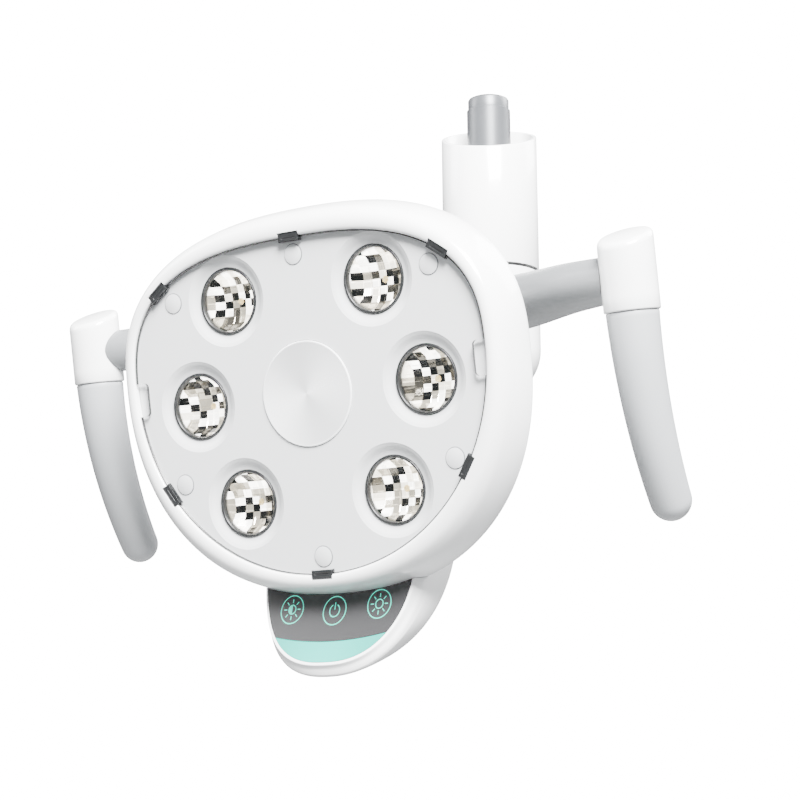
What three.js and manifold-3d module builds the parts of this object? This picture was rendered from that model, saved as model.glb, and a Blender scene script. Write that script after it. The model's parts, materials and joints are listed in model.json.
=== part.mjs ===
// A six-lens dental operating light: a column with a swivel elbow, a rolling yoke, and a tilting head
// with two bar handles, pull-off grips and a touch control pod. Millimetres, +Z up, front towards -Y.
// The origin is the centre of the mounting stud's top end, and every piece hangs below it.
import * as THREE from "three";
import { mergeVertices } from "three/addons/utils/BufferGeometryUtils.js";
import Module from "manifold-3d";

const wasm = await Module();
wasm.setup();

// ---- Driving dimensions ----
const GAP = 0.3; // between fixed pieces that touch
const RUNNING_GAP = 0.4; // radial gap round a turning or sliding piece

// Column, measured down from the stud's top end.
const STUD_RADIUS = 14.9;
const STUD_TIP_RADIUS = 14;
const STUD_TIP_LENGTH = 8.5;
const STUD_CHAMFER = 1.5;
const STUD_FLANGE_RADIUS = 26;
const STUD_FLANGE_THICKNESS = 6;
const WIRE_BORE = 5; // radius of the wire way through every pivot
const SLEEVE_RADIUS = 32.5;
const SLEEVE_WALL = 2.5;
const SLEEVE_TOP = -28;
const SLEEVE_BOTTOM = -122.5;
const MOUTH_SLOPE = THREE.MathUtils.degToRad(25);
const MOUTH_TURN = THREE.MathUtils.degToRad(27.5); // from the front, round to the low side of the mouth
const MOUTH_FLOOR_DROP = 22; // from the middle of the sleeve's mouth to the floor plate
const MOUTH_FLOOR_THICKNESS = 3;
const HOUSING_HEIGHT = 26;
const SWIVEL_SHAFT_RADIUS = 12;
const BUSH_WALL = 3.6;
const SWIVEL_BUSH_HEIGHT = 16;
const ROLL_BUSH_LENGTH = 32;
const NUT_THICKNESS = 5;
const SEAL_THICKNESS = 1.4;
const SEAL_INSET = 0.4; // how far each black ring lies inside the covers beside it

// Elbow and rolling yoke.
const ELBOW_DROP = 177; // from the stud's top end to the level arm's axis
const ELBOW_ARM_RADIUS = 27;
const ELBOW_ARM_REACH = 62;
const ELBOW_CAVITY_RADIUS = 21;
const ROLL_SHAFT_RADIUS = 10;
const YOKE_NECK_RADIUS = 24;
const YOKE_NECK_LENGTH = 17;
const KNUCKLE_RADIUS = 22;
const KNUCKLE_WIDTH = 24.8;
const ROLL_SHAFT_SOCKET = 13; // depth of the shaft's seat in the yoke
const TILT_PIN_RADIUS = 6;
const WASHER_THICKNESS = 1;
const WASHER_RADIUS = 18;
const CHEEK_RADIUS = 24;
const CHEEK_THICKNESS = 16;
const CHEEK_HALF_HEIGHT = 27;
const WEB_THICKNESS = 16; // of the bracket's web between the cheeks
const FLANGE_RADIUS = 36;
const THROUGH = 60; // half the length of every cross-bore's cutter

// The head's place: its tilt axis, and the middle of its face seen from there.
const TILT_AXIS_REACH = 114; // in front of the column's axis
const HEAD_PITCH = THREE.MathUtils.degToRad(10.1); // the face looks down by this much at rest
const FACE_AHEAD = 119.3; // face plane in front of the tilt axis, square to the face
const FACE_BELOW = 42.2; // middle of the face below the tilt axis, along the face

// Head outlines, seen from the front: half width, and heights above and below the widest line.
const WAIST = 15; // the widest line above the middle of the face
// A fullness of 2 is an ellipse, and more is squarer.
const OPENING = { side: 122.5, up: 77, down: 120.5, upFullness: 2.65, downFullness: 2.05 };
const BEZEL_WIDTH = { side: 13.3, up: 18.8, down: 13.6 };
const OUTER_FULLNESS = { up: 2.45, down: 2.31 };

// Depths behind the face plane. A negative depth is in front of it.
const BEZEL_CREST = -2;
const BEZEL_DEPTH = 25; // the parting line between bezel and rear shell
const SHELL_WALL = 2.5;
const REAR_DEPTH = 74;
const SCREW_SHARE = 0.8; // how far out the shell's screws stand, as a share of the head's outline
const SCREW_ANGLES = [48, 132, 228, 312]; // degrees clockwise from the top
const SCREW_SEAT = 44;
const SCREW_RADIUS = 1.6;
const SCREW_HEAD_RADIUS = 3.4;
const SCREW_LENGTH = 10;
const SCREW_HEAD_HEIGHT = 2.4;
const VENT_COUNT = 4; // slots in each of the two rows
const VENT_PITCH = 9;
const VENT_LOWEST = -37; // level of the lowest slot, from the middle of the face
const VENT_REACH = 62; // middle of each row from the head's centre line
const VENT_HALF_LENGTH = 13;
const VENT_HALF_HEIGHT = 1.8;
const COVER_FRONT = -0.4;
const COVER_THICKNESS = 2;
const PANEL_FRONT = 2.6;
const PANEL_THICKNESS = 2.4;
const PANEL_LEDGE = 4; // how far the panel reaches under the bezel
const CENTRE_DISC_RADIUS = 31;
const CENTRE_DISC_THICKNESS = 1.3;
const MARK_RADIUS = 6;
const MARK_HEIGHT = 0.35;
const MARK_INSET = 10.5; // each mark's middle inside the opening's edge

// The six lamps.
const LAMP_RING_RADIUS = 79.3;
const LAMP_SPREAD = 49.7; // degrees above and below the level pair
const LENS_RADIUS = 20; // over its dark trim ring
const TRIM_WIDTH = 1.8;
const TRIM_HEIGHT = 3.5;
const DISH_RADIUS = 26.5;
const DISH_DEPTH = 2.8;
const REFLECTOR_DEPTH = 11;
const EMITTER_HOLE = 4;
const EMITTER_RADIUS = 2.6;
const BOARD_THICKNESS = 1.6;
const BOARD_MARGIN = 4; // how far the ring board reaches past each emitter's hole

// Heat sink and driver board inside the rear shell.
const SINK_HALF_WIDTH = 100;
const SINK_HALF_HEIGHT = 72;
const SINK_PLATE = 3;
const FIN_COUNT = 9;
const FIN_PITCH = 18;
const FIN_THICKNESS = 2;
const FIN_HEIGHT = 10;
const FIN_LENGTH = 90;
const DRIVER_WIDTH = 84;
const DRIVER_HEIGHT = 46;
const WIRE_WAY_RADIUS = 8; // hole in the rear shell behind the flange

// Clips that hold the clear cover, and the finger notches at its sides.
const CLIP_WIDTH = 14;
const CLIP_DEPTH = 5;
const CLIP_OVERLAP = 2.2; // how far each clip reaches into the bezel
// Places along the opening, in degrees clockwise from the top of its full curve.
const CLIP_ANGLES = [0, 48.5, 123, 180, 237, 311.5];
const NOTCH_HEIGHT = 20;
const NOTCH_DEPTH = 8.5;
const NOTCH_LEVEL = 8;
const NOTCH_CORNER = 3;

// Handles, in the head's own frame.
const HANDLE_REACH = 190;
const HANDLE_DEPTH = 48.4; // axis of cap and grip behind the face plane
const CAP_RADIUS = 16;
const CAP_BOTTOM = 24.9;
const CAP_TOP = 68;
const CAP_SLOPE = THREE.MathUtils.degToRad(19.5);
const BAR_LEVEL = 44.5;
const BAR_INNER_RADIUS = 18.5;
const BAR_OUTER_RADIUS = 12.3;
const GRIP_RADIUS = 15;
const GRIP_TIP_RADIUS = 12;
const GRIP_LENGTH = 122;
const GRIP_BEND = THREE.MathUtils.degToRad(26);
const SPIGOT_RADIUS = 8.5;
const SPIGOT_IN_CAP = 18;
const SPIGOT_IN_GRIP = 36;

// Control pod under the head.
const POD_HALF_WIDTH = 51.7;
const POD_SHOULDER = -93; // where its side outline starts to turn in
const POD_BOTTOM = -155.1;
const POD_FULLNESS = 2.5;
const POD_RIM = 1.6; // white lip round the glass
const GLASS_THICKNESS = 2;
const STRIP_HEIGHT = 11; // light strip's height at its middle
const POD_WALL = 3.5;
const POD_POCKET = 12;
const TOUCH_LEVEL = -127; // the three touch keys' line
const TOUCH_BOARD_WIDTH = 72;
const TOUCH_BOARD_HEIGHT = 17;

// Numbers of sides on round pieces.
const HEAD_SIDES = 44;
const COLUMN_SIDES = 24;
const LAMP_SIDES = 14;
const SHAFT_SIDES = 16;
const SMALL_SIDES = 10;

// ---- Finishes ----
const finish = (color, roughness, metalness = 0) =>
  new THREE.MeshStandardMaterial({ color, roughness, metalness });
const WHITE_COVER = finish(0xf7f8f8, 0.28);
const PANEL_GREY = finish(0xdcdedf, 0.35);
const DISC_GREY = finish(0xe6e8e9, 0.2);
const GRIP_GREY = finish(0xcdd0d2, 0.45);
const BAR_GREY = finish(0xd8dadb, 0.3);
const BLACK_TRIM = finish(0x202224, 0.5);
const CLIP_GREY = finish(0x4a4d50, 0.45);
const GLASS_GREY = finish(0x86898b, 0.15);
const MINT_LIGHT = finish(0xbaffee, 0.3);
const ALUMINIUM = finish(0xb9bcbf, 0.4, 1);
const STEEL = finish(0x9a9da0, 0.3, 1);
const BRONZE = finish(0xa9803f, 0.4, 1);
const BOARD_GREEN = finish(0x1f6b45, 0.6);
const MIRROR = finish(0xf2f3f2, 0.08, 1);
const CLEAR = finish(0xf4f8f8, 0.05);
CLEAR.transparent = true;
CLEAR.opacity = 0.2;

// ---- Solids ----

// Welds a geometry's corners, and turns its faces outwards.
function closed(source) {
  const bare = source.index ? source.clone() : mergeVertices(source);
  bare.deleteAttribute("normal");
  bare.deleteAttribute("uv");
  const welded = mergeVertices(bare, 1e-3);
  const index = welded.index.array;
  const corner = [new THREE.Vector3(), new THREE.Vector3(), new THREE.Vector3()];
  const kept = [];
  let volume = 0;
  for (let i = 0; i < index.length; i += 3) {
    const [a, b, c] = index.slice(i, i + 3);
    if (a === b || b === c || c === a) continue;
    kept.push([a, b, c]);
    corner.forEach((v, k) => v.fromBufferAttribute(welded.attributes.position, [a, b, c][k]));
    volume += corner[0].dot(corner[1].clone().cross(corner[2]));
  }
  const facing = volume < 0 ? kept.map(([a, b, c]) => [a, c, b]) : kept;
  welded.setIndex(facing.flat());
  return welded;
}

function solid(geometry) {
  const g = closed(geometry);
  const vertProperties = new Float32Array(g.attributes.position.array);
  const triVerts = new Uint32Array(g.index.array);
  return new wasm.Manifold(new wasm.Mesh({ numProp: 3, vertProperties, triVerts }));
}

function geometryOf(manifold) {
  const mesh = manifold.getMesh();
  const g = new THREE.BufferGeometry();
  g.setAttribute("position", new THREE.BufferAttribute(new Float32Array(mesh.vertProperties), 3));
  g.setIndex(new THREE.BufferAttribute(new Uint32Array(mesh.triVerts), 1));
  return g;
}

const joined = (pieces) => pieces.reduce((sum, piece) => sum.add(piece));
const without = (body, cutters) => cutters.reduce((left, cutter) => left.subtract(cutter), body);

// A closed surface through rings of points. A ring of one point is a pole.
function loft(rings) {
  const sides = Math.max(...rings.map((ring) => ring.length));
  const profile = rings.map((ring, i) => new THREE.Vector2(ring.length > 1 ? 1 : 0, i));
  const geometry = new THREE.LatheGeometry(profile, sides);
  const position = geometry.attributes.position;
  for (let side = 0; side <= sides; side++)
    rings.forEach((ring, i) => {
      const point = ring[side % ring.length];
      position.setXYZ(side * rings.length + i, point.x, point.y, point.z);
    });
  return geometry;
}

// A turned piece about Z from [radius, height] points. It closes on itself unless it ends on the axis.
function turned(points, sides) {
  const onAxis = points[0][0] === 0 && points[points.length - 1][0] === 0;
  const outline = onAxis ? points : [...points, points[0]];
  const profile = outline.map(([radius, height]) => new THREE.Vector2(radius, height));
  return new THREE.LatheGeometry(profile, sides).rotateX(Math.PI / 2);
}

// The same about Y, from [radius, depth] points, and about X.
const turnedY = (points, sides) => turned(points, sides).rotateX(-Math.PI / 2);
const turnedX = (points, sides) => turned(points, sides).rotateY(Math.PI / 2);

const tubeProfile = (inner, outer, low, high) => [
  [inner, low],
  [outer, low],
  [outer, high],
  [inner, high],
];
const rodProfile = (radius, low, high) => [
  [0, low],
  [radius, low],
  [radius, high],
  [0, high],
];

function box(width, depth, height, x = 0, y = 0, z = 0) {
  return new THREE.BoxGeometry(width, depth, height).translate(x, y, z);
}

function extruded(shape, depth, curveSegments = 12) {
  return new THREE.ExtrudeGeometry(shape, { depth, bevelEnabled: false, curveSegments });
}

// ---- Outlines of the head, in its face plane: x to the right, z up ----

const changed = (outline, size) => ({
  ...outline,
  side: size(outline.side),
  up: size(outline.up),
  down: size(outline.down),
});
const grown = (outline, by) => changed(outline, (size) => size + by);
const scaled = (outline, by) => changed(outline, (size) => size * by);

// An outline between the opening, at share 0, and the bezel's outside, at share 1.
const bezelOutline = (share) => ({
  side: OPENING.side + share * BEZEL_WIDTH.side,
  up: OPENING.up + share * BEZEL_WIDTH.up,
  down: OPENING.down + share * BEZEL_WIDTH.down,
  upFullness: THREE.MathUtils.lerp(OPENING.upFullness, OUTER_FULLNESS.up, share),
  downFullness: THREE.MathUtils.lerp(OPENING.downFullness, OUTER_FULLNESS.down, share),
});
const OUTER = bezelOutline(1);

const power = (value, exponent) => Math.sign(value) * Math.abs(value) ** exponent;

// A point of an outline at an angle clockwise from the top.
function outlinePoint(outline, angle, depth) {
  const across = Math.sin(angle);
  const along = Math.cos(angle);
  const exponent = 2 / (along > 0 ? outline.upFullness : outline.downFullness);
  const reach = along > 0 ? outline.up : outline.down;
  return new THREE.Vector3(
    outline.side * power(across, exponent),
    depth,
    WAIST + reach * power(along, exponent),
  );
}

function headRing(outline, depth) {
  return Array.from({ length: HEAD_SIDES }, (_, i) =>
    outlinePoint(outline, (i / HEAD_SIDES) * 2 * Math.PI, depth),
  );
}

const headPole = (depth) => [new THREE.Vector3(0, depth, WAIST)];

// ---- Nodes ----

const root = new THREE.Group();

// Everything of the head is drawn in the face's own frame: x right, y back, z up along the face.
const head = new THREE.Group();
head.rotation.x = HEAD_PITCH;
const facePlace = new THREE.Vector3(0, -FACE_AHEAD, -FACE_BELOW).applyAxisAngle(
  new THREE.Vector3(1, 0, 0),
  HEAD_PITCH,
);
head.position.set(0, -TILT_AXIS_REACH + facePlace.y, -ELBOW_DROP + facePlace.z);
root.add(head);

function node(name, shape, material, parent = root) {
  const geometry = shape.isBufferGeometry ? closed(shape) : geometryOf(shape);
  const mesh = new THREE.Mesh(geometry, material);
  mesh.name = name;
  parent.add(mesh);
  return mesh;
}

// ---- Column ----

const bushRadius = SWIVEL_SHAFT_RADIUS + RUNNING_GAP + BUSH_WALL;
const housingTop = SLEEVE_BOTTOM + HOUSING_HEIGHT;
const sleeveBore = SLEEVE_RADIUS - SLEEVE_WALL;
const mouthFloor = SLEEVE_TOP - MOUTH_FLOOR_DROP;
const sealTop = SLEEVE_BOTTOM - GAP;
const elbowTop = sealTop - SEAL_THICKNESS - GAP;

const studFoot = housingTop + GAP;
const studProfile = [
  [WIRE_BORE, studFoot],
  [STUD_FLANGE_RADIUS, studFoot],
  [STUD_FLANGE_RADIUS, studFoot + STUD_FLANGE_THICKNESS],
  [STUD_RADIUS, studFoot + STUD_FLANGE_THICKNESS],
  [STUD_RADIUS, -STUD_TIP_LENGTH],
  [STUD_TIP_RADIUS, -STUD_TIP_LENGTH],
  [STUD_TIP_RADIUS, -STUD_CHAMFER],
  [STUD_TIP_RADIUS - STUD_CHAMFER, 0],
  [WIRE_BORE, 0],
];
node("mounting_stud", turned(studProfile, COLUMN_SIDES), ALUMINIUM);

// The sleeve's mouth is cut at a slope, low at the front.
const mouthReach = SLEEVE_RADIUS * 2;
const mouthRise = Math.tan(MOUTH_SLOPE) * mouthReach;
const mouthShape = new THREE.Shape();
mouthShape.moveTo(-mouthReach, SLEEVE_TOP - mouthRise);
mouthShape.lineTo(mouthReach, SLEEVE_TOP + mouthRise);
mouthShape.lineTo(mouthReach, SLEEVE_TOP + 2 * mouthReach);
mouthShape.lineTo(-mouthReach, SLEEVE_TOP + 2 * mouthReach);
// Drawn on y and z, and drawn out along x.
const mouthCut = extruded(mouthShape, 2 * mouthReach)
  .rotateX(Math.PI / 2)
  .rotateZ(Math.PI / 2)
  .translate(-mouthReach, 0, 0)
  .rotateZ(MOUTH_TURN);
const sleeveHigh = SLEEVE_TOP + mouthRise;
const sleeveTube = turned(tubeProfile(sleeveBore, SLEEVE_RADIUS, SLEEVE_BOTTOM, sleeveHigh), COLUMN_SIDES);
node("column_sleeve", solid(sleeveTube).subtract(solid(mouthCut)), WHITE_COVER);

const floorUnder = mouthFloor - MOUTH_FLOOR_THICKNESS;
const floorProfile = tubeProfile(STUD_RADIUS + GAP, sleeveBore - GAP, floorUnder, mouthFloor);
node("sleeve_floor_plate", turned(floorProfile, COLUMN_SIDES), WHITE_COVER);

const housingBore = bushRadius + GAP;
const housingProfile = tubeProfile(housingBore, sleeveBore - GAP, SLEEVE_BOTTOM, housingTop);
node("bearing_housing", turned(housingProfile, COLUMN_SIDES), ALUMINIUM);

const swivelBushTop = SLEEVE_BOTTOM + SWIVEL_BUSH_HEIGHT;
const swivelBush = tubeProfile(SWIVEL_SHAFT_RADIUS + RUNNING_GAP, bushRadius, SLEEVE_BOTTOM, swivelBushTop);
node("swivel_bush", turned(swivelBush, COLUMN_SIDES), BRONZE);

const swivelSeal = tubeProfile(bushRadius, SLEEVE_RADIUS - SEAL_INSET, sealTop - SEAL_THICKNESS, sealTop);
node("swivel_seal", turned(swivelSeal, COLUMN_SIDES), BLACK_TRIM);

// ---- Elbow ----

const rollBushRadius = ROLL_SHAFT_RADIUS + RUNNING_GAP + BUSH_WALL;
const rollBore = rollBushRadius + GAP;
const swivelShaftFoot = -ELBOW_DROP + rollBore;
const elbowPost = solid(turned(rodProfile(SLEEVE_RADIUS, -ELBOW_DROP, elbowTop), COLUMN_SIDES));
const atElbow = (geometry) => geometry.translate(0, 0, -ELBOW_DROP);
const ball = (radius, sides) => new THREE.SphereGeometry(radius, sides, sides / 2).rotateX(Math.PI / 2);
const elbowBall = solid(atElbow(ball(SLEEVE_RADIUS, COLUMN_SIDES)));
const elbowArm = solid(atElbow(turnedY(rodProfile(ELBOW_ARM_RADIUS, -ELBOW_ARM_REACH, 0), COLUMN_SIDES)));
const elbowCavity = solid(atElbow(ball(ELBOW_CAVITY_RADIUS, SMALL_SIDES)));
const postBore = solid(turned(rodProfile(SWIVEL_SHAFT_RADIUS + GAP, -ELBOW_DROP, elbowTop + 1), SHAFT_SIDES));
const armBore = solid(atElbow(turnedY(rodProfile(rollBore, -ELBOW_ARM_REACH - 1, 0), SHAFT_SIDES)));
const elbowOutside = joined([elbowPost, elbowBall, elbowArm]);
node("elbow_casting", without(elbowOutside, [elbowCavity, postBore, armBore]), WHITE_COVER);

const nutFoot = swivelBushTop + GAP;
const swivelShaftTop = nutFoot + NUT_THICKNESS + 1;
const swivelShaft = tubeProfile(WIRE_BORE, SWIVEL_SHAFT_RADIUS, swivelShaftFoot, swivelShaftTop);
node("swivel_shaft", turned(swivelShaft, SHAFT_SIDES), STEEL);

const swivelNut = tubeProfile(SWIVEL_SHAFT_RADIUS + GAP, bushRadius - GAP, nutFoot, nutFoot + NUT_THICKNESS);
node("swivel_nut", turned(swivelNut, SHAFT_SIDES), STEEL);

const armEnd = -ELBOW_ARM_REACH;
const rollBushEnd = armEnd + 1 + ROLL_BUSH_LENGTH;
const rollBush = tubeProfile(ROLL_SHAFT_RADIUS + RUNNING_GAP, rollBushRadius, armEnd + 1, rollBushEnd);
node("roll_bush", atElbow(turnedY(rollBush, SHAFT_SIDES)), BRONZE);

const rollSealFront = armEnd - GAP - SEAL_THICKNESS;
const rollSeal = tubeProfile(rollBushRadius, ELBOW_ARM_RADIUS - SEAL_INSET, rollSealFront, armEnd - GAP);
node("roll_seal", atElbow(turnedY(rollSeal, COLUMN_SIDES)), BLACK_TRIM);

// ---- Rolling yoke ----

const yokeBack = rollSealFront - GAP;
const neckFront = yokeBack - YOKE_NECK_LENGTH;
const tiltAxis = -TILT_AXIS_REACH;
const knuckleHalf = KNUCKLE_WIDTH / 2;
const shaftSocket = yokeBack - ROLL_SHAFT_SOCKET;
const neckProfile = [
  [0, tiltAxis],
  [knuckleHalf, tiltAxis],
  [knuckleHalf, neckFront - 6],
  [YOKE_NECK_RADIUS * 0.8, neckFront],
  [YOKE_NECK_RADIUS, neckFront + 6],
  [ELBOW_ARM_RADIUS, yokeBack],
  [0, yokeBack],
];
const yokeNeck = solid(atElbow(turnedY(neckProfile, COLUMN_SIDES)));
const atTilt = (geometry) => geometry.translate(0, tiltAxis, -ELBOW_DROP);
const knuckle = solid(atTilt(turnedX(rodProfile(KNUCKLE_RADIUS, -knuckleHalf, knuckleHalf), COLUMN_SIDES)));
const crossBore = (radius) => turnedX(rodProfile(radius, -THROUGH, THROUGH), SMALL_SIDES);
const pinHole = solid(atTilt(crossBore(TILT_PIN_RADIUS + RUNNING_GAP)));
const shaftHoleProfile = rodProfile(ROLL_SHAFT_RADIUS + GAP, shaftSocket, yokeBack + 1);
const shaftHole = solid(atElbow(turnedY(shaftHoleProfile, SHAFT_SIDES)));
node("tilt_yoke", without(yokeNeck.add(knuckle), [pinHole, shaftHole]), WHITE_COVER);

const rollNutBack = rollBushEnd + GAP + NUT_THICKNESS;
const rollShaft = tubeProfile(WIRE_BORE - 0.5, ROLL_SHAFT_RADIUS, shaftSocket + GAP, rollNutBack + 1);
node("roll_shaft", atElbow(turnedY(rollShaft, SHAFT_SIDES)), STEEL);

const rollNut = tubeProfile(ROLL_SHAFT_RADIUS + GAP, rollBushRadius - GAP, rollBushEnd + GAP, rollNutBack);
node("roll_nut", atElbow(turnedY(rollNut, SHAFT_SIDES)), STEEL);

// ---- Head: tilt joint ----

const hub = new THREE.Vector3(0, FACE_AHEAD, FACE_BELOW);
const atHub = (geometry) => geometry.translate(hub.x, hub.y, hub.z);
const cheekInner = knuckleHalf + WASHER_THICKNESS + 2 * GAP;
const cheekOuter = cheekInner + CHEEK_THICKNESS;
const webBack = hub.y - KNUCKLE_RADIUS - RUNNING_GAP - 0.2;
const flangeBack = webBack - WEB_THICKNESS;
const bossBack = REAR_DEPTH + 2;
const flangeFront = bossBack + GAP;

// The cheek's side view: a round end at the tilt axis on a plate that widens to the flange.
const cheekShape = new THREE.Shape();
cheekShape.moveTo(flangeBack, hub.z - CHEEK_HALF_HEIGHT);
cheekShape.lineTo(hub.y, hub.z - CHEEK_RADIUS);
cheekShape.absarc(hub.y, hub.z, CHEEK_RADIUS, -Math.PI / 2, Math.PI / 2, false);
cheekShape.lineTo(flangeBack, hub.z + CHEEK_HALF_HEIGHT);
// A side view drawn on y and z becomes a slab from x = low to x = high.
const slab = (shape, low, high) =>
  solid(extruded(shape, high - low).rotateX(Math.PI / 2).rotateZ(Math.PI / 2).translate(low, 0, 0));
const webShape = new THREE.Shape();
webShape.moveTo(flangeBack, hub.z - CHEEK_HALF_HEIGHT);
webShape.lineTo(webBack, hub.z - CHEEK_HALF_HEIGHT);
webShape.lineTo(webBack, hub.z + CHEEK_HALF_HEIGHT);
webShape.lineTo(flangeBack, hub.z + CHEEK_HALF_HEIGHT);
const flangeProfile = [
  [0, flangeFront],
  [FLANGE_RADIUS, flangeFront],
  [FLANGE_RADIUS, flangeBack - 3],
  [FLANGE_RADIUS - 4, flangeBack + 1],
  [0, flangeBack + 1],
];
const flange = solid(turnedY(flangeProfile, COLUMN_SIDES).translate(0, 0, hub.z));
const headPinHole = solid(atHub(crossBore(TILT_PIN_RADIUS + GAP)));
const bracketParts = [
  slab(cheekShape, cheekInner, cheekOuter),
  slab(cheekShape, -cheekOuter, -cheekInner),
  slab(webShape, -cheekInner - 1, cheekInner + 1),
  flange,
];
node("tilt_bracket", joined(bracketParts).subtract(headPinHole), WHITE_COVER, head);
const pinProfile = rodProfile(TILT_PIN_RADIUS, 1 - cheekOuter, cheekOuter - 1);
node("tilt_pin", atHub(turnedX(pinProfile, SMALL_SIDES)), STEEL, head);

const BOTH_SIDES = [
  ["right", 1],
  ["left", -1],
];
for (const [side, sign] of BOTH_SIDES) {
  const inner = sign > 0 ? knuckleHalf + GAP : -knuckleHalf - GAP - WASHER_THICKNESS;
  const washer = tubeProfile(TILT_PIN_RADIUS + GAP, WASHER_RADIUS, inner, inner + WASHER_THICKNESS);
  node("tilt_washer_" + side, atHub(turnedX(washer, SHAFT_SIDES)), BRONZE, head);
}

// ---- Head: bezel, clear cover, rear shell ----

const skirtBack = PANEL_FRONT - GAP;
const SKIRT_WALL = 2.2;
const bezelRise = BEZEL_DEPTH - 1 - BEZEL_CREST;
// The bezel's front, from the opening outwards: share of its width, and depth as a share of its rise.
const BEZEL_FRONT = [
  [0.22, 0],
  [0.5, 0.065],
  [0.75, 0.275],
  [0.92, 0.62],
];
const bezelRing = ([share, rise], by, back) =>
  headRing(grown(bezelOutline(share), by), BEZEL_CREST + rise * bezelRise + back);
const bezelInside = BEZEL_FRONT.slice(1)
  .reverse()
  .map((place) => bezelRing(place, -SHELL_WALL / 2, SHELL_WALL));
const bezelRings = [
  headRing(OPENING, BEZEL_CREST + 1.2),
  ...BEZEL_FRONT.map((place) => bezelRing(place, 0, 0)),
  headRing(OUTER, BEZEL_DEPTH - 1),
  headRing(OUTER, BEZEL_DEPTH),
  headRing(grown(OUTER, -SHELL_WALL), BEZEL_DEPTH),
  ...bezelInside,
  headRing(grown(OPENING, SKIRT_WALL), BEZEL_CREST + SHELL_WALL),
  headRing(grown(OPENING, SKIRT_WALL), skirtBack),
  headRing(OPENING, skirtBack),
];

// The clips stand across the edge of the opening, in notches of the bezel and the cover.
function clipPlace(degrees) {
  const angle = THREE.MathUtils.degToRad(degrees);
  const here = outlinePoint(OPENING, angle, 0);
  const before = outlinePoint(OPENING, angle - 0.02, 0);
  const after = outlinePoint(OPENING, angle + 0.02, 0);
  const turn = Math.atan2(after.z - before.z, after.x - before.x);
  return { x: here.x, z: here.z, turn };
}

function clipBox(degrees, margin, front, back) {
  const place = clipPlace(degrees);
  const level = CLIP_OVERLAP - CLIP_DEPTH / 2;
  return box(CLIP_WIDTH + 2 * margin, back - front, CLIP_DEPTH + 2 * margin, 0, (front + back) / 2, level)
    .rotateY(-place.turn)
    .translate(place.x, 0, place.z);
}
const clipNotches = CLIP_ANGLES.map((degrees) =>
  solid(clipBox(degrees, GAP, BEZEL_CREST - 5, skirtBack + 1)),
);
const bezelSolid = solid(loft([...bezelRings, bezelRings[0]]));
node("front_bezel", without(bezelSolid, clipNotches), WHITE_COVER, head);

const rearShares = [
  [1, 0],
  [1, 0.04],
  [0.965, 0.17],
  [0.88, 0.42],
  [0.75, 0.65],
  [0.56, 0.84],
  [0.32, 0.96],
];
const rearStart = BEZEL_DEPTH + GAP;
const rearRun = REAR_DEPTH - rearStart;
const rearRing = ([share, rise], by, run) =>
  headRing(grown(scaled(OUTER, share), by), rearStart + rise * run);
const rearRings = [...rearShares.map((place) => rearRing(place, 0, rearRun)), headPole(REAR_DEPTH)];
const rearInnerRings = [
  headPole(REAR_DEPTH - SHELL_WALL),
  ...rearShares
    .slice(1)
    .reverse()
    .map((place) => rearRing(place, -SHELL_WALL, rearRun - SHELL_WALL)),
  headRing(grown(OUTER, -SHELL_WALL), rearStart),
];
const bossProfile = rodProfile(FLANGE_RADIUS + 4, REAR_DEPTH - 16, bossBack);
const boss = solid(turnedY(bossProfile, COLUMN_SIDES).translate(0, 0, hub.z));
const headInside = solid(loft([...rearInnerRings, headPole(rearStart)]));
const rearSolid = solid(loft([...rearRings, ...rearInnerRings, rearRings[0]]));
const wireWayProfile = rodProfile(WIRE_WAY_RADIUS, REAR_DEPTH - 30, REAR_DEPTH + 10);
const wireWay = solid(turnedY(wireWayProfile, SMALL_SIDES).translate(0, 0, hub.z));
const ventSlot = new THREE.Shape();
ventSlot.absarc(-VENT_HALF_LENGTH, 0, VENT_HALF_HEIGHT, Math.PI / 2, (3 * Math.PI) / 2, false);
ventSlot.absarc(VENT_HALF_LENGTH, 0, VENT_HALF_HEIGHT, -Math.PI / 2, Math.PI / 2, false);
const vents = [];
for (const sign of [-1, 1])
  for (let i = 0; i < VENT_COUNT; i++) {
    const cutter = extruded(ventSlot, THROUGH, 2).rotateX(Math.PI / 2);
    vents.push(solid(cutter.translate(sign * VENT_REACH, REAR_DEPTH + 10, VENT_LOWEST + i * VENT_PITCH)));
  }

// Four screws hold the rear shell. Each sits in a round well, in a boss that stands inside the shell.
const headOutside = solid(loft([headPole(rearStart), ...rearRings]));
const screwPlaces = SCREW_ANGLES.map((degrees) =>
  outlinePoint(scaled(OUTER, SCREW_SHARE), THREE.MathUtils.degToRad(degrees), 0),
);
const atScrew = (points, place) => turnedY(points, SMALL_SIDES).translate(place.x, 0, place.z);
const wellRadius = SCREW_HEAD_RADIUS + RUNNING_GAP;
const screwBossProfile = rodProfile(wellRadius + SHELL_WALL, SCREW_SEAT - 6, REAR_DEPTH);
const screwBosses = screwPlaces.map((place) =>
  solid(atScrew(screwBossProfile, place)).intersect(headOutside),
);
const screwWells = screwPlaces.flatMap((place) => [
  solid(atScrew(rodProfile(wellRadius, SCREW_SEAT, REAR_DEPTH), place)),
  solid(atScrew(rodProfile(SCREW_RADIUS + GAP, rearStart, SCREW_SEAT + 1), place)),
]);
const rearBody = joined([rearSolid, boss.subtract(headInside), ...screwBosses]);
node("rear_shell", without(rearBody, [wireWay, ...vents, ...screwWells]), WHITE_COVER, head);

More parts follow.
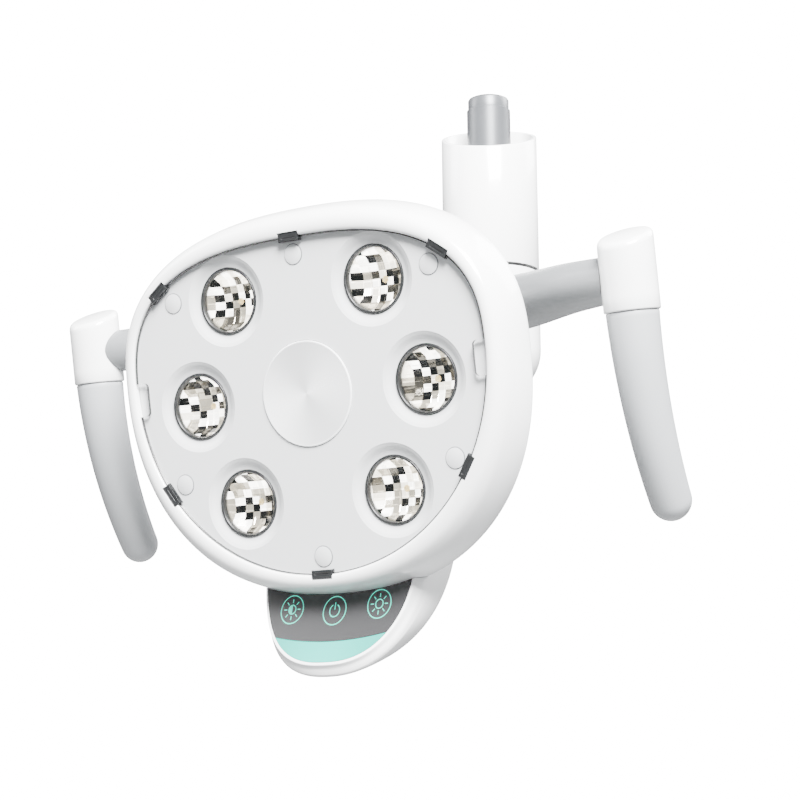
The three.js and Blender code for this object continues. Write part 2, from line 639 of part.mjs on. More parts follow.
const screwHeadFront = SCREW_SEAT + GAP;
const screwProfile = [
  [0, SCREW_SEAT - SCREW_LENGTH],
  [SCREW_RADIUS, SCREW_SEAT - SCREW_LENGTH],
  [SCREW_RADIUS, screwHeadFront],
  [SCREW_HEAD_RADIUS, screwHeadFront],
  [SCREW_HEAD_RADIUS, screwHeadFront + SCREW_HEAD_HEIGHT - 0.8],
  [SCREW_HEAD_RADIUS - 1, screwHeadFront + SCREW_HEAD_HEIGHT],
  [0, screwHeadFront + SCREW_HEAD_HEIGHT],
];
screwPlaces.forEach((place, i) => node("shell_screw_" + (i + 1), atScrew(screwProfile, place), STEEL, head));

// The head's outside, a gap larger, which trims what stands against it.
const envelope = solid(
  loft([
    headPole(BEZEL_CREST - GAP),
    ...BEZEL_FRONT.map((place) => bezelRing(place, GAP, -GAP)),
    headRing(grown(OUTER, GAP), BEZEL_DEPTH - 1),
    ...rearShares.map((place) => rearRing(place, GAP, rearRun + GAP)),
    headPole(REAR_DEPTH + GAP),
  ]),
);

// A flat plate of the opening's shape, between two depths.
const facePlate = (outline, front, back) =>
  solid(loft([headPole(front), headRing(outline, front), headRing(outline, back), headPole(back)]));

// The clear cover lies in the opening, with a notch at each clip and a finger notch at each side.
const coverBlank = facePlate(grown(OPENING, -GAP), COVER_FRONT, COVER_FRONT + COVER_THICKNESS);
const notchShape = new THREE.Shape();
const notchCorner = [NOTCH_DEPTH - NOTCH_CORNER, NOTCH_HEIGHT / 2 - NOTCH_CORNER];
notchShape.absarc(notchCorner[0], notchCorner[1], NOTCH_CORNER, 0, Math.PI / 2, false);
notchShape.lineTo(-NOTCH_DEPTH, NOTCH_HEIGHT / 2);
notchShape.lineTo(-NOTCH_DEPTH, -NOTCH_HEIGHT / 2);
notchShape.absarc(notchCorner[0], -notchCorner[1], NOTCH_CORNER, -Math.PI / 2, 0, false);
const fingerNotch = extruded(notchShape, 20, 3)
  .rotateX(Math.PI / 2)
  .translate(-OPENING.side, 10, NOTCH_LEVEL);
const fingerNotches = [solid(fingerNotch), solid(fingerNotch.clone().scale(-1, 1, 1))];
node("clear_cover", without(coverBlank, [...clipNotches, ...fingerNotches]), CLEAR, head);

CLIP_ANGLES.forEach((degrees, i) => {
  node("cover_clip_" + (i + 1), clipBox(degrees, 0, COVER_FRONT - 1, skirtBack - GAP), CLIP_GREY, head);
});

// ---- Head: lens panel and lamps ----

const panelBack = PANEL_FRONT + PANEL_THICKNESS;
const trimFront = PANEL_FRONT + DISH_DEPTH - 0.9;
const trimBack = trimFront + TRIM_HEIGHT;
const panelBlank = facePlate(grown(OPENING, PANEL_LEDGE), PANEL_FRONT, panelBack);
const lampHole = LENS_RADIUS + GAP;
const cupProfile = rodProfile(DISH_RADIUS + 2, PANEL_FRONT + 0.2, trimBack);
const dishProfile = [
  [0, PANEL_FRONT - 1],
  [DISH_RADIUS + 0.6, PANEL_FRONT - 1],
  [DISH_RADIUS, PANEL_FRONT],
  [DISH_RADIUS - 2.4, PANEL_FRONT + DISH_DEPTH * 0.62],
  [lampHole, PANEL_FRONT + DISH_DEPTH],
  [lampHole, trimBack + 1],
  [0, trimBack + 1],
];
const lampAngles = [0, LAMP_SPREAD, 180 - LAMP_SPREAD, 180, 180 + LAMP_SPREAD, 360 - LAMP_SPREAD];
const lampPlaces = lampAngles.map((degrees) => {
  const angle = THREE.MathUtils.degToRad(degrees);
  return [LAMP_RING_RADIUS * Math.cos(angle), LAMP_RING_RADIUS * Math.sin(angle)];
});
const atLamp = (geometry, [x, z]) => geometry.translate(x, 0, z);
const cups = lampPlaces.map((place) => solid(atLamp(turnedY(cupProfile, LAMP_SIDES), place)));
const dishes = lampPlaces.map((place) => solid(atLamp(turnedY(dishProfile, LAMP_SIDES), place)));
const discFloor = PANEL_FRONT + 1;
const recessProfile = rodProfile(CENTRE_DISC_RADIUS + GAP, PANEL_FRONT - 1, discFloor);
const discRecess = solid(turnedY(recessProfile, COLUMN_SIDES));
const marks = CLIP_ANGLES.map((degrees) => {
  const spot = outlinePoint(grown(OPENING, -MARK_INSET), THREE.MathUtils.degToRad(degrees), 0);
  const profile = rodProfile(MARK_RADIUS, PANEL_FRONT - MARK_HEIGHT, PANEL_FRONT + 0.5);
  return solid(turnedY(profile, SMALL_SIDES).translate(spot.x, 0, spot.z));
});
const panelSolid = without(joined([panelBlank, ...cups, ...marks]), [...dishes, discRecess]);
node("lens_panel", panelSolid, PANEL_GREY, head);

const discProfile = [
  [0, discFloor - GAP - CENTRE_DISC_THICKNESS],
  [CENTRE_DISC_RADIUS - 1, discFloor - GAP - CENTRE_DISC_THICKNESS],
  [CENTRE_DISC_RADIUS, discFloor - GAP - CENTRE_DISC_THICKNESS + 0.5],
  [CENTRE_DISC_RADIUS, discFloor - GAP],
  [0, discFloor - GAP],
];
node("centre_disc", turnedY(discProfile, COLUMN_SIDES), DISC_GREY, head);

const trimProfile = [
  [LENS_RADIUS - TRIM_WIDTH, trimFront + 0.6],
  [LENS_RADIUS - 0.5, trimFront],
  [LENS_RADIUS, trimFront + 0.5],
  [LENS_RADIUS, trimBack],
  [LENS_RADIUS - TRIM_WIDTH, trimBack],
];
const reflectorTop = trimBack + GAP;
const bowlRadius = LENS_RADIUS - TRIM_WIDTH;
const bowlBottom = reflectorTop + REFLECTOR_DEPTH;
const bowlWall = 1.2;
const bowlAt = (share, by) => [
  EMITTER_HOLE + (bowlRadius - EMITTER_HOLE) * Math.cos((share * Math.PI) / 2) + by,
  reflectorTop + REFLECTOR_DEPTH * Math.sin((share * Math.PI) / 2) + by,
];
const BOWL_SHARES = [0, 0.45, 1];
const reflectorProfile = [
  ...BOWL_SHARES.map((share) => bowlAt(share, 0)),
  [EMITTER_HOLE, bowlBottom + bowlWall],
  ...BOWL_SHARES.slice(0, 2)
    .reverse()
    .map((share) => bowlAt(share, bowlWall)),
  [LENS_RADIUS + 3, reflectorTop + bowlWall],
  [LENS_RADIUS + 3, reflectorTop],
];
const boardFront = bowlBottom + bowlWall + GAP;
const boardBack = boardFront + BOARD_THICKNESS;
const emitterProfile = [
  [0, boardFront - 3],
  [EMITTER_RADIUS * 0.7, boardFront - 2.4],
  [EMITTER_RADIUS, boardFront - 1],
  [EMITTER_RADIUS, boardFront + 0.5],
  [0, boardFront + 0.5],
];
lampPlaces.forEach((place, i) => {
  node("lamp_trim_ring_" + (i + 1), atLamp(turnedY(trimProfile, LAMP_SIDES), place), BLACK_TRIM, head);
  node("lamp_reflector_" + (i + 1), atLamp(turnedY(reflectorProfile, LAMP_SIDES), place), MIRROR, head);
});

// One ring-shaped board carries the six emitters, each in the hole at the bottom of its reflector.
const boardReach = EMITTER_HOLE + BOARD_MARGIN;
const [boardInner, boardOuter] = [LAMP_RING_RADIUS - boardReach, LAMP_RING_RADIUS + boardReach];
const ringBoard = tubeProfile(boardInner, boardOuter, boardFront, boardBack);
const emitters = lampPlaces.map((place) => solid(atLamp(turnedY(emitterProfile, SMALL_SIDES), place)));
node("led_ring_board", joined([solid(turnedY(ringBoard, HEAD_SIDES)), ...emitters]), BOARD_GREEN, head);

const sinkFront = boardBack + GAP;
const sinkBack = sinkFront + SINK_PLATE;
const sinkPlate = solid(
  turnedY(rodProfile(1, sinkFront, sinkBack), COLUMN_SIDES).scale(SINK_HALF_WIDTH, 1, SINK_HALF_HEIGHT),
);
const fins = Array.from({ length: FIN_COUNT }, (_, i) => {
  const x = (i - (FIN_COUNT - 1) / 2) * FIN_PITCH;
  const height = FIN_LENGTH * Math.sqrt(1 - (x / SINK_HALF_WIDTH) ** 2);
  return solid(box(FIN_THICKNESS, FIN_HEIGHT + 1, height, x, sinkBack + FIN_HEIGHT / 2 - 0.5, 0));
});
node("heat_sink", joined([sinkPlate, ...fins]), ALUMINIUM, head);

const driverFront = sinkBack + FIN_HEIGHT + GAP;
const driverBack = driverFront + BOARD_THICKNESS;
// The board, its transformer and its terminal block.
const driverParts = [
  box(DRIVER_WIDTH, BOARD_THICKNESS, DRIVER_HEIGHT, 0, (driverFront + driverBack) / 2, 0),
  box(22, 9, 18, -22, driverBack + 4, 4),
  box(14, 7, 10, 14, driverBack + 3, -8),
];
node("driver_board", joined(driverParts.map(solid)), BOARD_GREEN, head);

// ---- Head: bars, caps and spigots; grips ----

// A round-section tube that follows a flat curve; its radius runs from one end's to the other's.
function tapered(curve, steps, sides, radiusAt, up, ends) {
  const rings = [];
  for (let i = 0; i <= steps; i++) {
    const share = i / steps;
    const middle = curve.getPoint(share);
    const along = curve.getTangent(share);
    const across = new THREE.Vector3().crossVectors(up, along).normalize();
    const lift = new THREE.Vector3().crossVectors(along, across).normalize();
    const radius = radiusAt(share);
    rings.push(
      Array.from({ length: sides }, (_, k) => {
        const angle = (k / sides) * 2 * Math.PI;
        const out = across.clone().multiplyScalar(Math.cos(angle) * radius);
        return middle.clone().add(out).addScaledVector(lift, Math.sin(angle) * radius);
      }),
    );
  }
  return loft([[ends[0]], ...rings, [ends[1]]]);
}

const BAR_STEPS = 9;
const BAR_SIDES = 18;
const spigotFoot = CAP_BOTTOM - SPIGOT_IN_GRIP;
const capHole = SPIGOT_RADIUS + GAP;
const capWall = CAP_BOTTOM + SPIGOT_IN_CAP;
const tiltedRing = (radius, level, slope, x) =>
  Array.from({ length: COLUMN_SIDES }, (_, k) => {
    const angle = (k / COLUMN_SIDES) * 2 * Math.PI;
    const y = radius * Math.sin(angle);
    return new THREE.Vector3(x + radius * Math.cos(angle), HANDLE_DEPTH + y, level + y * Math.tan(slope));
  });

for (const [side, sign] of BOTH_SIDES) {
  const x = sign * HANDLE_REACH;
  const at = (geometry) => geometry.translate(x, HANDLE_DEPTH, 0);

  // The bar sweeps forward and outwards from the tilt joint's cheek to the cap.
  const start = new THREE.Vector3(sign * (cheekOuter + GAP), hub.y, hub.z);
  const barEnd = new THREE.Vector3(x, HANDLE_DEPTH, BAR_LEVEL);
  const route = new THREE.CatmullRomCurve3([
    start,
    new THREE.Vector3(sign * 62, hub.y - 4, hub.z),
    new THREE.Vector3(sign * 102, 95, hub.z + 0.5),
    new THREE.Vector3(sign * 145, 67, BAR_LEVEL - 0.5),
    barEnd,
  ]);
  const radiusAt = (share) => THREE.MathUtils.lerp(BAR_INNER_RADIUS, BAR_OUTER_RADIUS, share ** 1.6);
  const up = new THREE.Vector3(0, 0, 1);
  const tube = solid(tapered(route, BAR_STEPS, BAR_SIDES, radiusAt, up, [start, barEnd]));
  const insideCut = solid(box(80, 80, 80, sign * (cheekOuter + GAP - 40), hub.y, hub.z));
  const capCutProfile = rodProfile(CAP_RADIUS + GAP, CAP_BOTTOM - 5, CAP_TOP + 20);
  const capCut = solid(at(turned(capCutProfile, COLUMN_SIDES)));
  node("handle_bar_" + side, without(tube, [insideCut, capCut]), BAR_GREY, head);

  const capRings = [
    [new THREE.Vector3(x, HANDLE_DEPTH, CAP_BOTTOM)],
    tiltedRing(CAP_RADIUS - 0.6, CAP_BOTTOM, 0, x),
    tiltedRing(CAP_RADIUS, CAP_BOTTOM + 0.8, 0, x),
    tiltedRing(CAP_RADIUS, CAP_TOP - 4, CAP_SLOPE, x),
    tiltedRing(CAP_RADIUS - 1.2, CAP_TOP - 1.2, CAP_SLOPE, x),
    tiltedRing(CAP_RADIUS - 3.6, CAP_TOP, CAP_SLOPE, x),
    [new THREE.Vector3(x, HANDLE_DEPTH, CAP_TOP)],
  ];
  const spigotWell = solid(at(turned(rodProfile(capHole, CAP_BOTTOM - 1, capWall + GAP), SMALL_SIDES)));
  node("handle_cap_" + side, solid(loft(capRings)).subtract(spigotWell), WHITE_COVER, head);

  const spigot = [
    [0, spigotFoot],
    [SPIGOT_RADIUS - 1.5, spigotFoot],
    [SPIGOT_RADIUS, spigotFoot + 1.5],
    [SPIGOT_RADIUS, capWall],
    [0, capWall],
  ];
  node("grip_spigot_" + side, at(turned(spigot, SMALL_SIDES)), STEEL, head);

  // The grip's axis starts straight down from the cap and bends back along an arc.
  const gripTop = CAP_BOTTOM - GAP;
  const bendRadius = (GRIP_LENGTH - GRIP_TIP_RADIUS) / GRIP_BEND;
  const gripAxis = new (class extends THREE.Curve {
    getPoint(share, target = new THREE.Vector3()) {
      const angle = share * GRIP_BEND;
      const back = bendRadius * (1 - Math.cos(angle));
      return target.set(x, HANDLE_DEPTH + back, gripTop - bendRadius * Math.sin(angle));
    }
    getTangent(share, target = new THREE.Vector3()) {
      return target.set(0, Math.sin(share * GRIP_BEND), -Math.cos(share * GRIP_BEND));
    }
  })();
  const gripRings = [[gripAxis.getPoint(0)]];
  const GRIP_STEPS = 7;
  const TIP_STEPS = 3;
  const across = new THREE.Vector3(1, 0, 0);
  const gripRing = (share, ahead, radius) => {
    const along = gripAxis.getTangent(share);
    const lift = new THREE.Vector3().crossVectors(along, across);
    const middle = gripAxis.getPoint(share).addScaledVector(along, ahead);
    return Array.from({ length: BAR_SIDES }, (_, k) => {
      const angle = (k / BAR_SIDES) * 2 * Math.PI;
      const point = middle.clone().addScaledVector(across, Math.cos(angle) * radius);
      return point.addScaledVector(lift, Math.sin(angle) * radius);
    });
  };
  gripRings.push(gripRing(0, 0, GRIP_RADIUS - 0.6));
  for (let i = 0; i <= GRIP_STEPS; i++) {
    const share = i / GRIP_STEPS;
    gripRings.push(gripRing(share, i ? 0 : 0.6, THREE.MathUtils.lerp(GRIP_RADIUS, GRIP_TIP_RADIUS, share)));
  }
  for (let i = 1; i < TIP_STEPS; i++) {
    const angle = (i / TIP_STEPS) * (Math.PI / 2);
    gripRings.push(gripRing(1, GRIP_TIP_RADIUS * Math.sin(angle), GRIP_TIP_RADIUS * Math.cos(angle)));
  }
  gripRings.push([gripAxis.getPoint(1).addScaledVector(gripAxis.getTangent(1), GRIP_TIP_RADIUS)]);
  const socketProfile = rodProfile(SPIGOT_RADIUS + RUNNING_GAP, spigotFoot - 4, gripTop + 1);
  const socket = solid(at(turned(socketProfile, SMALL_SIDES)));
  node("grip_" + side, solid(loft(gripRings)).subtract(socket), GRIP_GREY, head);
}

// ---- Head: control pod ----

// Depth of the pod's glass behind the face plane: it scoops forward towards its lower edge.
const scoop = (level) => 14.9 + 0.387 * (level + 112) - 0.004 * (level + 112) ** 2;
const POD_STEPS = 14;
const POD_HEAD = -88; // hidden upper end inside the head's outline
const POD_LOWEST = -180;
const POD_MIDDLE = -118; // level of the poles its front and back close on
const CURVE_STEPS = 28; // steps round the pod's curved edge

// A slab that follows the scoop, from one depth behind the glass's face to another.
function scoopSlab(front, back) {
  const shape = new THREE.Shape();
  for (let i = 0; i <= POD_STEPS; i++) {
    const level = THREE.MathUtils.lerp(POD_HEAD, POD_LOWEST, i / POD_STEPS);
    if (i) shape.lineTo(scoop(level) + front, level);
    else shape.moveTo(scoop(level) + front, level);
  }
  for (let i = POD_STEPS; i >= 0; i--) {
    const level = THREE.MathUtils.lerp(POD_HEAD, POD_LOWEST, i / POD_STEPS);
    shape.lineTo(scoop(level) + back, level);
  }
  return slab(shape, -POD_HALF_WIDTH - 20, POD_HALF_WIDTH + 20);
}

// The pod's outline from the front: straight sides, then a full curve to the bottom.
function podOutline(by) {
  const shape = new THREE.Shape();
  const half = POD_HALF_WIDTH + by;
  const drop = POD_SHOULDER - POD_BOTTOM + by;
  shape.moveTo(half, POD_HEAD + 20);
  for (let i = 0; i <= CURVE_STEPS; i++) {
    const angle = (i / CURVE_STEPS) * Math.PI;
    const exponent = 2 / POD_FULLNESS;
    const level = POD_SHOULDER - drop * power(Math.sin(angle), exponent);
    shape.lineTo(half * power(Math.cos(angle), exponent), level);
  }
  shape.lineTo(-half, POD_HEAD + 20);
  return shape;
}
// A shape drawn on x and z, drawn out through the pod's whole depth.
const throughPod = (shape) => solid(extruded(shape, 120).rotateX(Math.PI / 2).translate(0, 80, 0));
const podPrism = (by) => throughPod(podOutline(by));

// The lower edge of the glass, where the light strip starts.
const stripTop = POD_BOTTOM + STRIP_HEIGHT;
function belowStripLine(shift) {
  const shape = new THREE.Shape();
  const reach = POD_HALF_WIDTH + 10;
  shape.moveTo(-reach, POD_LOWEST);
  shape.lineTo(reach, POD_LOWEST);
  for (let i = 0; i <= 10; i++) {
    const x = THREE.MathUtils.lerp(reach, -reach, i / 10);
    shape.lineTo(x, stripTop + 3.7 * (x / 39) ** 2 + shift);
  }
  return throughPod(shape);
}

const glassBlank = scoopSlab(0, GLASS_THICKNESS).intersect(podPrism(-GAP)).subtract(envelope);
node("touch_glass", glassBlank.subtract(belowStripLine(GAP)), GLASS_GREY, head);
node("light_strip", glassBlank.intersect(belowStripLine(0)), MINT_LIGHT, head);

// The housing is lofted from its front lip back to its rear edge, each a tilted full curve.
function podRing(half, shoulder, bottom, fullness, depthAt) {
  const points = [];
  for (let i = 0; i <= CURVE_STEPS; i++) {
    const angle = (i / CURVE_STEPS) * Math.PI;
    const exponent = 2 / fullness;
    const level = shoulder - (shoulder - bottom) * power(Math.sin(angle), exponent);
    points.push(new THREE.Vector3(half * power(Math.cos(angle), exponent), depthAt(level), level));
  }
  points.push(new THREE.Vector3(-half, depthAt(POD_HEAD), POD_HEAD));
  points.push(new THREE.Vector3(half, depthAt(POD_HEAD), POD_HEAD));
  return points;
}
const lipDepth = (level) => scoop(level) - 0.4;
const wallDepth = (level) => 33.8 + 0.777 * (level + 112);
const sideDepth = (level) => THREE.MathUtils.lerp(lipDepth(level), wallDepth(level), 0.6) - 1;
const backDepth = (level) => 55 + 0.72 * (level + 109);
const tailDepth = (level) => 62 + 0.62 * (level + 109);
const podRings = [
  [new THREE.Vector3(0, lipDepth(POD_MIDDLE), POD_MIDDLE)],
  podRing(POD_HALF_WIDTH + POD_RIM, POD_SHOULDER, POD_BOTTOM - POD_RIM, POD_FULLNESS, lipDepth),
  podRing(POD_HALF_WIDTH + POD_RIM + 0.6, -104, -161, 2.4, sideDepth),
  podRing(53.7, -110, -163.9, 2.3, wallDepth),
  podRing(55, -108, -161, 2.3, backDepth),
  podRing(44, -104, -150, 2.2, tailDepth),
  [new THREE.Vector3(0, tailDepth(POD_MIDDLE) + 1, POD_MIDDLE)],
];
const podBody = solid(loft(podRings));
const glassSeat = scoopSlab(-60, GLASS_THICKNESS + GAP).intersect(podPrism(0));
const pocket = scoopSlab(0, POD_POCKET).intersect(podPrism(-POD_WALL));
node("pod_housing", without(podBody, [envelope, glassSeat, pocket]), WHITE_COVER, head);

const touchBoardTilt = Math.atan2(scoop(TOUCH_LEVEL + 10) - scoop(TOUCH_LEVEL - 10), 20);
const touchBoard = box(TOUCH_BOARD_WIDTH, BOARD_THICKNESS, TOUCH_BOARD_HEIGHT)
  .rotateX(-touchBoardTilt)
  .translate(0, scoop(TOUCH_LEVEL) + GLASS_THICKNESS + 5, TOUCH_LEVEL);
node("touch_board", touchBoard, BOARD_GREEN, head);

export default root;
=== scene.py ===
import json
import math

import bpy
from mathutils import Matrix, Vector

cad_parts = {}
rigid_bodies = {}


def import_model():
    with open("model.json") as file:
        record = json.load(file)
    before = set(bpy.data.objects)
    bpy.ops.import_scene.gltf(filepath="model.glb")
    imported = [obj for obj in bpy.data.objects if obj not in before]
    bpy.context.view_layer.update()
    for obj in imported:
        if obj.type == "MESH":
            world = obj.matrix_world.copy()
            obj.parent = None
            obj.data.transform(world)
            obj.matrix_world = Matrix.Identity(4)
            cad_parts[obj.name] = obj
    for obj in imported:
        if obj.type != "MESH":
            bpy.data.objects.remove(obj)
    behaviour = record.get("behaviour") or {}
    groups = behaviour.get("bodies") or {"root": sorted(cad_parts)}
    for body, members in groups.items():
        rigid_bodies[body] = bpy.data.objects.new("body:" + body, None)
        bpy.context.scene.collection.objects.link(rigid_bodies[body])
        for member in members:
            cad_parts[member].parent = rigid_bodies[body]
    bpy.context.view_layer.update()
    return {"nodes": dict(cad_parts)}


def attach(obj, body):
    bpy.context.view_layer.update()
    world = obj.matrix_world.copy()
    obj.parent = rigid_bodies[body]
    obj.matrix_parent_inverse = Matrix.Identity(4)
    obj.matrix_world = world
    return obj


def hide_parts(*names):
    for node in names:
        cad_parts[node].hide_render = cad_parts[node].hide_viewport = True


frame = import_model()

# ---- Studio ----
# The light hangs in front of a plain pale sweep, in soft light from a large box above and to the right,
# with weaker boxes on the left and behind. The head is seen from below and from its right. The floor
# throws no light back up, so the undersides stay soft.
LENS_LENGTH = 94.9
PAPER_LIGHT, FILL_LIGHT = 18, 0.72
FLOOR_SIZE, FLOOR_LEVEL = 14, -1.7
eye = Vector((0.6809, -1.2179, -0.4580))
sight_right = Vector((0.8491, 0.5282, -0.0095))
sight_up = Vector((0.1005, -0.1439, 0.9844))
sight_back = Vector((0.5186, -0.8368, -0.1753))
camera = bpy.data.objects.new("camera", bpy.data.cameras.new("camera"))
bpy.context.scene.collection.objects.link(camera)
camera.data.lens = LENS_LENGTH
camera.data.sensor_width = 36
turn = Matrix((sight_right, sight_up, sight_back)).transposed().to_4x4()
camera.matrix_world = Matrix.Translation(eye) @ turn
bpy.context.scene.camera = camera

target = Vector((0, -0.18, -0.22))
for name, place, size, watts in (
    ("box_above", (1.3, -1.5, 1.35), 1.1, 740),
    ("box_left", (-1.7, -0.9, 0.9), 0.8, 30),
    ("box_behind", (0.9, 1.3, 1.2), 1.2, 90),
):
    lamp = bpy.data.lights.new(name, "AREA")
    lamp.size = size
    lamp.energy = watts
    holder = bpy.data.objects.new(name, lamp)
    holder.location = place
    holder.rotation_euler = (target - Vector(place)).to_track_quat("-Z", "Y").to_euler()
    bpy.context.scene.collection.objects.link(holder)
world = bpy.data.worlds.new("studio")
world.use_nodes = True
studio = world.node_tree.nodes
paper = studio["Background"]
paper.inputs["Strength"].default_value = PAPER_LIGHT
fill = studio.new("ShaderNodeBackground")
fill.inputs["Color"].default_value = (0.96, 0.98, 1, 1)
fill.inputs["Strength"].default_value = FILL_LIGHT
paper.inputs["Color"].default_value = (1, 1, 1, 1)
seen = studio.new("ShaderNodeMixShader")
ray = studio.new("ShaderNodeLightPath")
world.node_tree.links.new(ray.outputs["Is Camera Ray"], seen.inputs[0])
world.node_tree.links.new(fill.outputs[0], seen.inputs[1])
world.node_tree.links.new(paper.outputs[0], seen.inputs[2])
world.node_tree.links.new(seen.outputs[0], studio["World Output"].inputs["Surface"])
bpy.context.scene.world = world


def alone():
    """Nothing stays selected, so the next tool acts only on its own piece."""
    for other in bpy.data.objects:
        other.select_set(False)


alone()
bpy.ops.mesh.primitive_plane_add(size=FLOOR_SIZE, location=(0, 0, FLOOR_LEVEL))
floor = bpy.context.object
floor.name = "studio_floor"
floor.visible_diffuse = False
bpy.ops.object.mode_set(mode="EDIT")
bpy.ops.mesh.subdivide(number_cuts=3)
bpy.ops.object.mode_set(mode="OBJECT")


# ---- Moulded and painted finishes ----
# Shader sums are written as sums: a Wire is one socket, and an operator on it adds the node.
# A Finish is one material, made of nodes that all come from its one method.
class Wire:
    def __init__(self, finish, socket):
        self.finish = finish
        self.socket = socket

    def sum(self, operation, *others):
        values = {i: other for i, other in enumerate((self,) + others)}
        return self.finish.node("Math", {"operation": operation}, values).out()

    def __add__(self, other):
        return self.sum("ADD", other)

    def __sub__(self, other):
        return self.sum("SUBTRACT", other)

    def __mul__(self, other):
        return self.sum("MULTIPLY", other)

    def __lt__(self, other):
        return self.sum("LESS_THAN", other)

    def __gt__(self, other):
        return self.sum("GREATER_THAN", other)

    def __abs__(self):
        return self.sum("ABSOLUTE")

    def __pow__(self, other):
        return self.sum("POWER", other)

    def __or__(self, other):
        return self.sum("MAXIMUM", other)


class Node:
    def __init__(self, finish, made):
        self.finish = finish
        self.made = made

    def out(self, name=0):
        return Wire(self.finish, self.made.outputs[name])


class Finish:
    def __init__(self, name, **fixed):
        self.material = bpy.data.materials.new(name)
        self.material.use_nodes = True
        self.tree = self.material.node_tree
        self.shader = self.tree.nodes["Principled BSDF"]
        for socket, value in fixed.items():
            self.shader.inputs[socket.replace("_", " ")].default_value = value

    def node(self, kind, settings=None, values=None):
        made = self.tree.nodes.new("ShaderNode" + kind)
        for key, value in (settings or {}).items():
            if key == "stops":
                ramp = made.color_ramp
                while len(ramp.elements) < len(value):
                    ramp.elements.new(0.5)
                for element, (place, colour) in zip(ramp.elements, value):
                    element.position = place
                    element.color = colour
            elif key == "steps":
                made.color_ramp.interpolation = value
            else:
                setattr(made, key, value)
        for key, value in (values or {}).items():
            if isinstance(value, Wire):
                self.tree.links.new(value.socket, made.inputs[key])
            else:
                made.inputs[key].default_value = value
        return Node(self, made)

    def feed(self, socket, wire):
        self.tree.links.new(wire.socket, self.shader.inputs[socket])

    def place(self):
        return self.node("TexCoord").out("Object")

    def axes(self):
        parts = self.node("SeparateXYZ", None, {0: self.place()})
        return parts.out("X"), parts.out("Y"), parts.out("Z")

    def noise(self, scale, detail=4, where=None):
        values = {"Vector": where or self.place(), "Scale": scale, "Detail": detail}
        return self.node("TexNoise", None, values).out("Fac")

    def blend(self, share, first, second):
        return self.node("Mix", {"data_type": "RGBA"}, {0: share, 6: first, 7: second}).out(2)

    def bump(self, height, strength, distance=0.0004):
        values = {"Height": height, "Strength": strength, "Distance": distance}
        self.feed("Normal", self.node("Bump", None, values).out("Normal"))


def linear(red, green, blue):
    """A finish's colour from its everyday 0 to 255 numbers."""
    def one(value):
        share = value / 255
        return share / 12.92 if share <= 0.04045 else ((share + 0.055) / 1.055) ** 2.4
    return (one(red), one(green), one(blue), 1)


def moulding(name, colour, shade, roughness, coat=0.0, peel=0.06):
    """A moulded or sprayed surface: slow colour drift, patchy gloss and a faint skin."""
    finish = Finish(name, Roughness=roughness, Coat_Weight=coat, Coat_Roughness=0.05)
    drift = finish.noise(9, 3)
    finish.feed("Base Color", finish.blend(drift, linear(*colour), linear(*shade)))
    haze = finish.noise(60, 5)
    finish.feed("Roughness", haze * 0.12 + (roughness - 0.05))
    finish.bump(finish.noise(900, 2) * 0.6 + finish.noise(180, 3) * 0.4, peel)
    return finish.material


sweep = moulding("pale_sweep", (250, 250, 250), (246, 247, 247), 0.8)
floor.data.materials.append(sweep)
gloss_white = moulding("gloss_white_moulding", (253, 253, 253), (248, 249, 249), 0.2, coat=0.35)

# ---- Front bezel ----
# A deep white ring, moulded in one piece, that frames the clear cover. Its front rolls over to the
# side and ends at the parting line with the rear shell. Six notches in its edge take the cover's clips.
PITCH = math.radians(10.1)
FACE = Vector((0, -0.22405, -0.23947))
WAIST = 15
OPENING = (122.5, 77, 120.5, 2.65, 2.05)
OUTSIDE = (135.8, 95.8, 134.1, 2.45, 2.31)
PARTING = 25


def on_face(across, back, up):
    """A place on the head, from millimetres across, behind and up along its face."""
    y = back * math.cos(PITCH) - up * math.sin(PITCH)
    z = back * math.sin(PITCH) + up * math.cos(PITCH)
    return FACE + Vector((across, y, z)) * 0.001


def oval(size, turn):
    """Across and up of the head's full oval, at a share of a turn clockwise from its top."""
    side, top, bottom, top_full, bottom_full = size
    sine, cosine = math.sin(turn * math.tau), math.cos(turn * math.tau)
    power = 2 / (top_full if cosine > 0 else bottom_full)
    across = side * math.copysign(abs(sine) ** power, sine)
    reach = top if cosine > 0 else bottom
    return across, WAIST + reach * math.copysign(abs(cosine) ** power, cosine)


def between(share, by=0.0):
    """The oval between the opening, at 0, and the head's outside, at 1."""
    low, high = OPENING, OUTSIDE
    sizes = [low[i] + share * (high[i] - low[i]) + (by if i < 3 else 0) for i in range(5)]
    return tuple(sizes)


def eased(points, share):
    """A place on the smooth line through points of equal length lists."""
    spot = share * (len(points) - 1)
    i = min(int(spot), len(points) - 2)
    t = spot - i
    a, b = points[max(i - 1, 0)], points[i]
    c, d = points[i + 1], points[min(i + 2, len(points) - 1)]
    return [
        0.5 * (2 * q + (r - p) * t + (2 * p - 5 * q + 4 * r - s) * t * t + (3 * q - p - 3 * r + s) * t**3)
        for p, q, r, s in zip(a, b, c, d)
    ]


def skin(name, across, along, place):
    """A grid of faces bent to place(u, v), welded where its edges meet."""
    alone()
    bpy.ops.mesh.primitive_grid_add(x_subdivisions=across, y_subdivisions=along, size=2)
    piece = bpy.context.object
    piece.name = name
    for vertex in piece.data.vertices:
        vertex.co = place((vertex.co.x + 1) / 2, (vertex.co.y + 1) / 2)
    bpy.ops.object.mode_set(mode="EDIT")
    bpy.ops.mesh.select_all(action="SELECT")
    bpy.ops.mesh.remove_doubles(threshold=0.00001)
    bpy.ops.mesh.normals_make_consistent(inside=False)
    bpy.ops.object.mode_set(mode="OBJECT")
    return piece


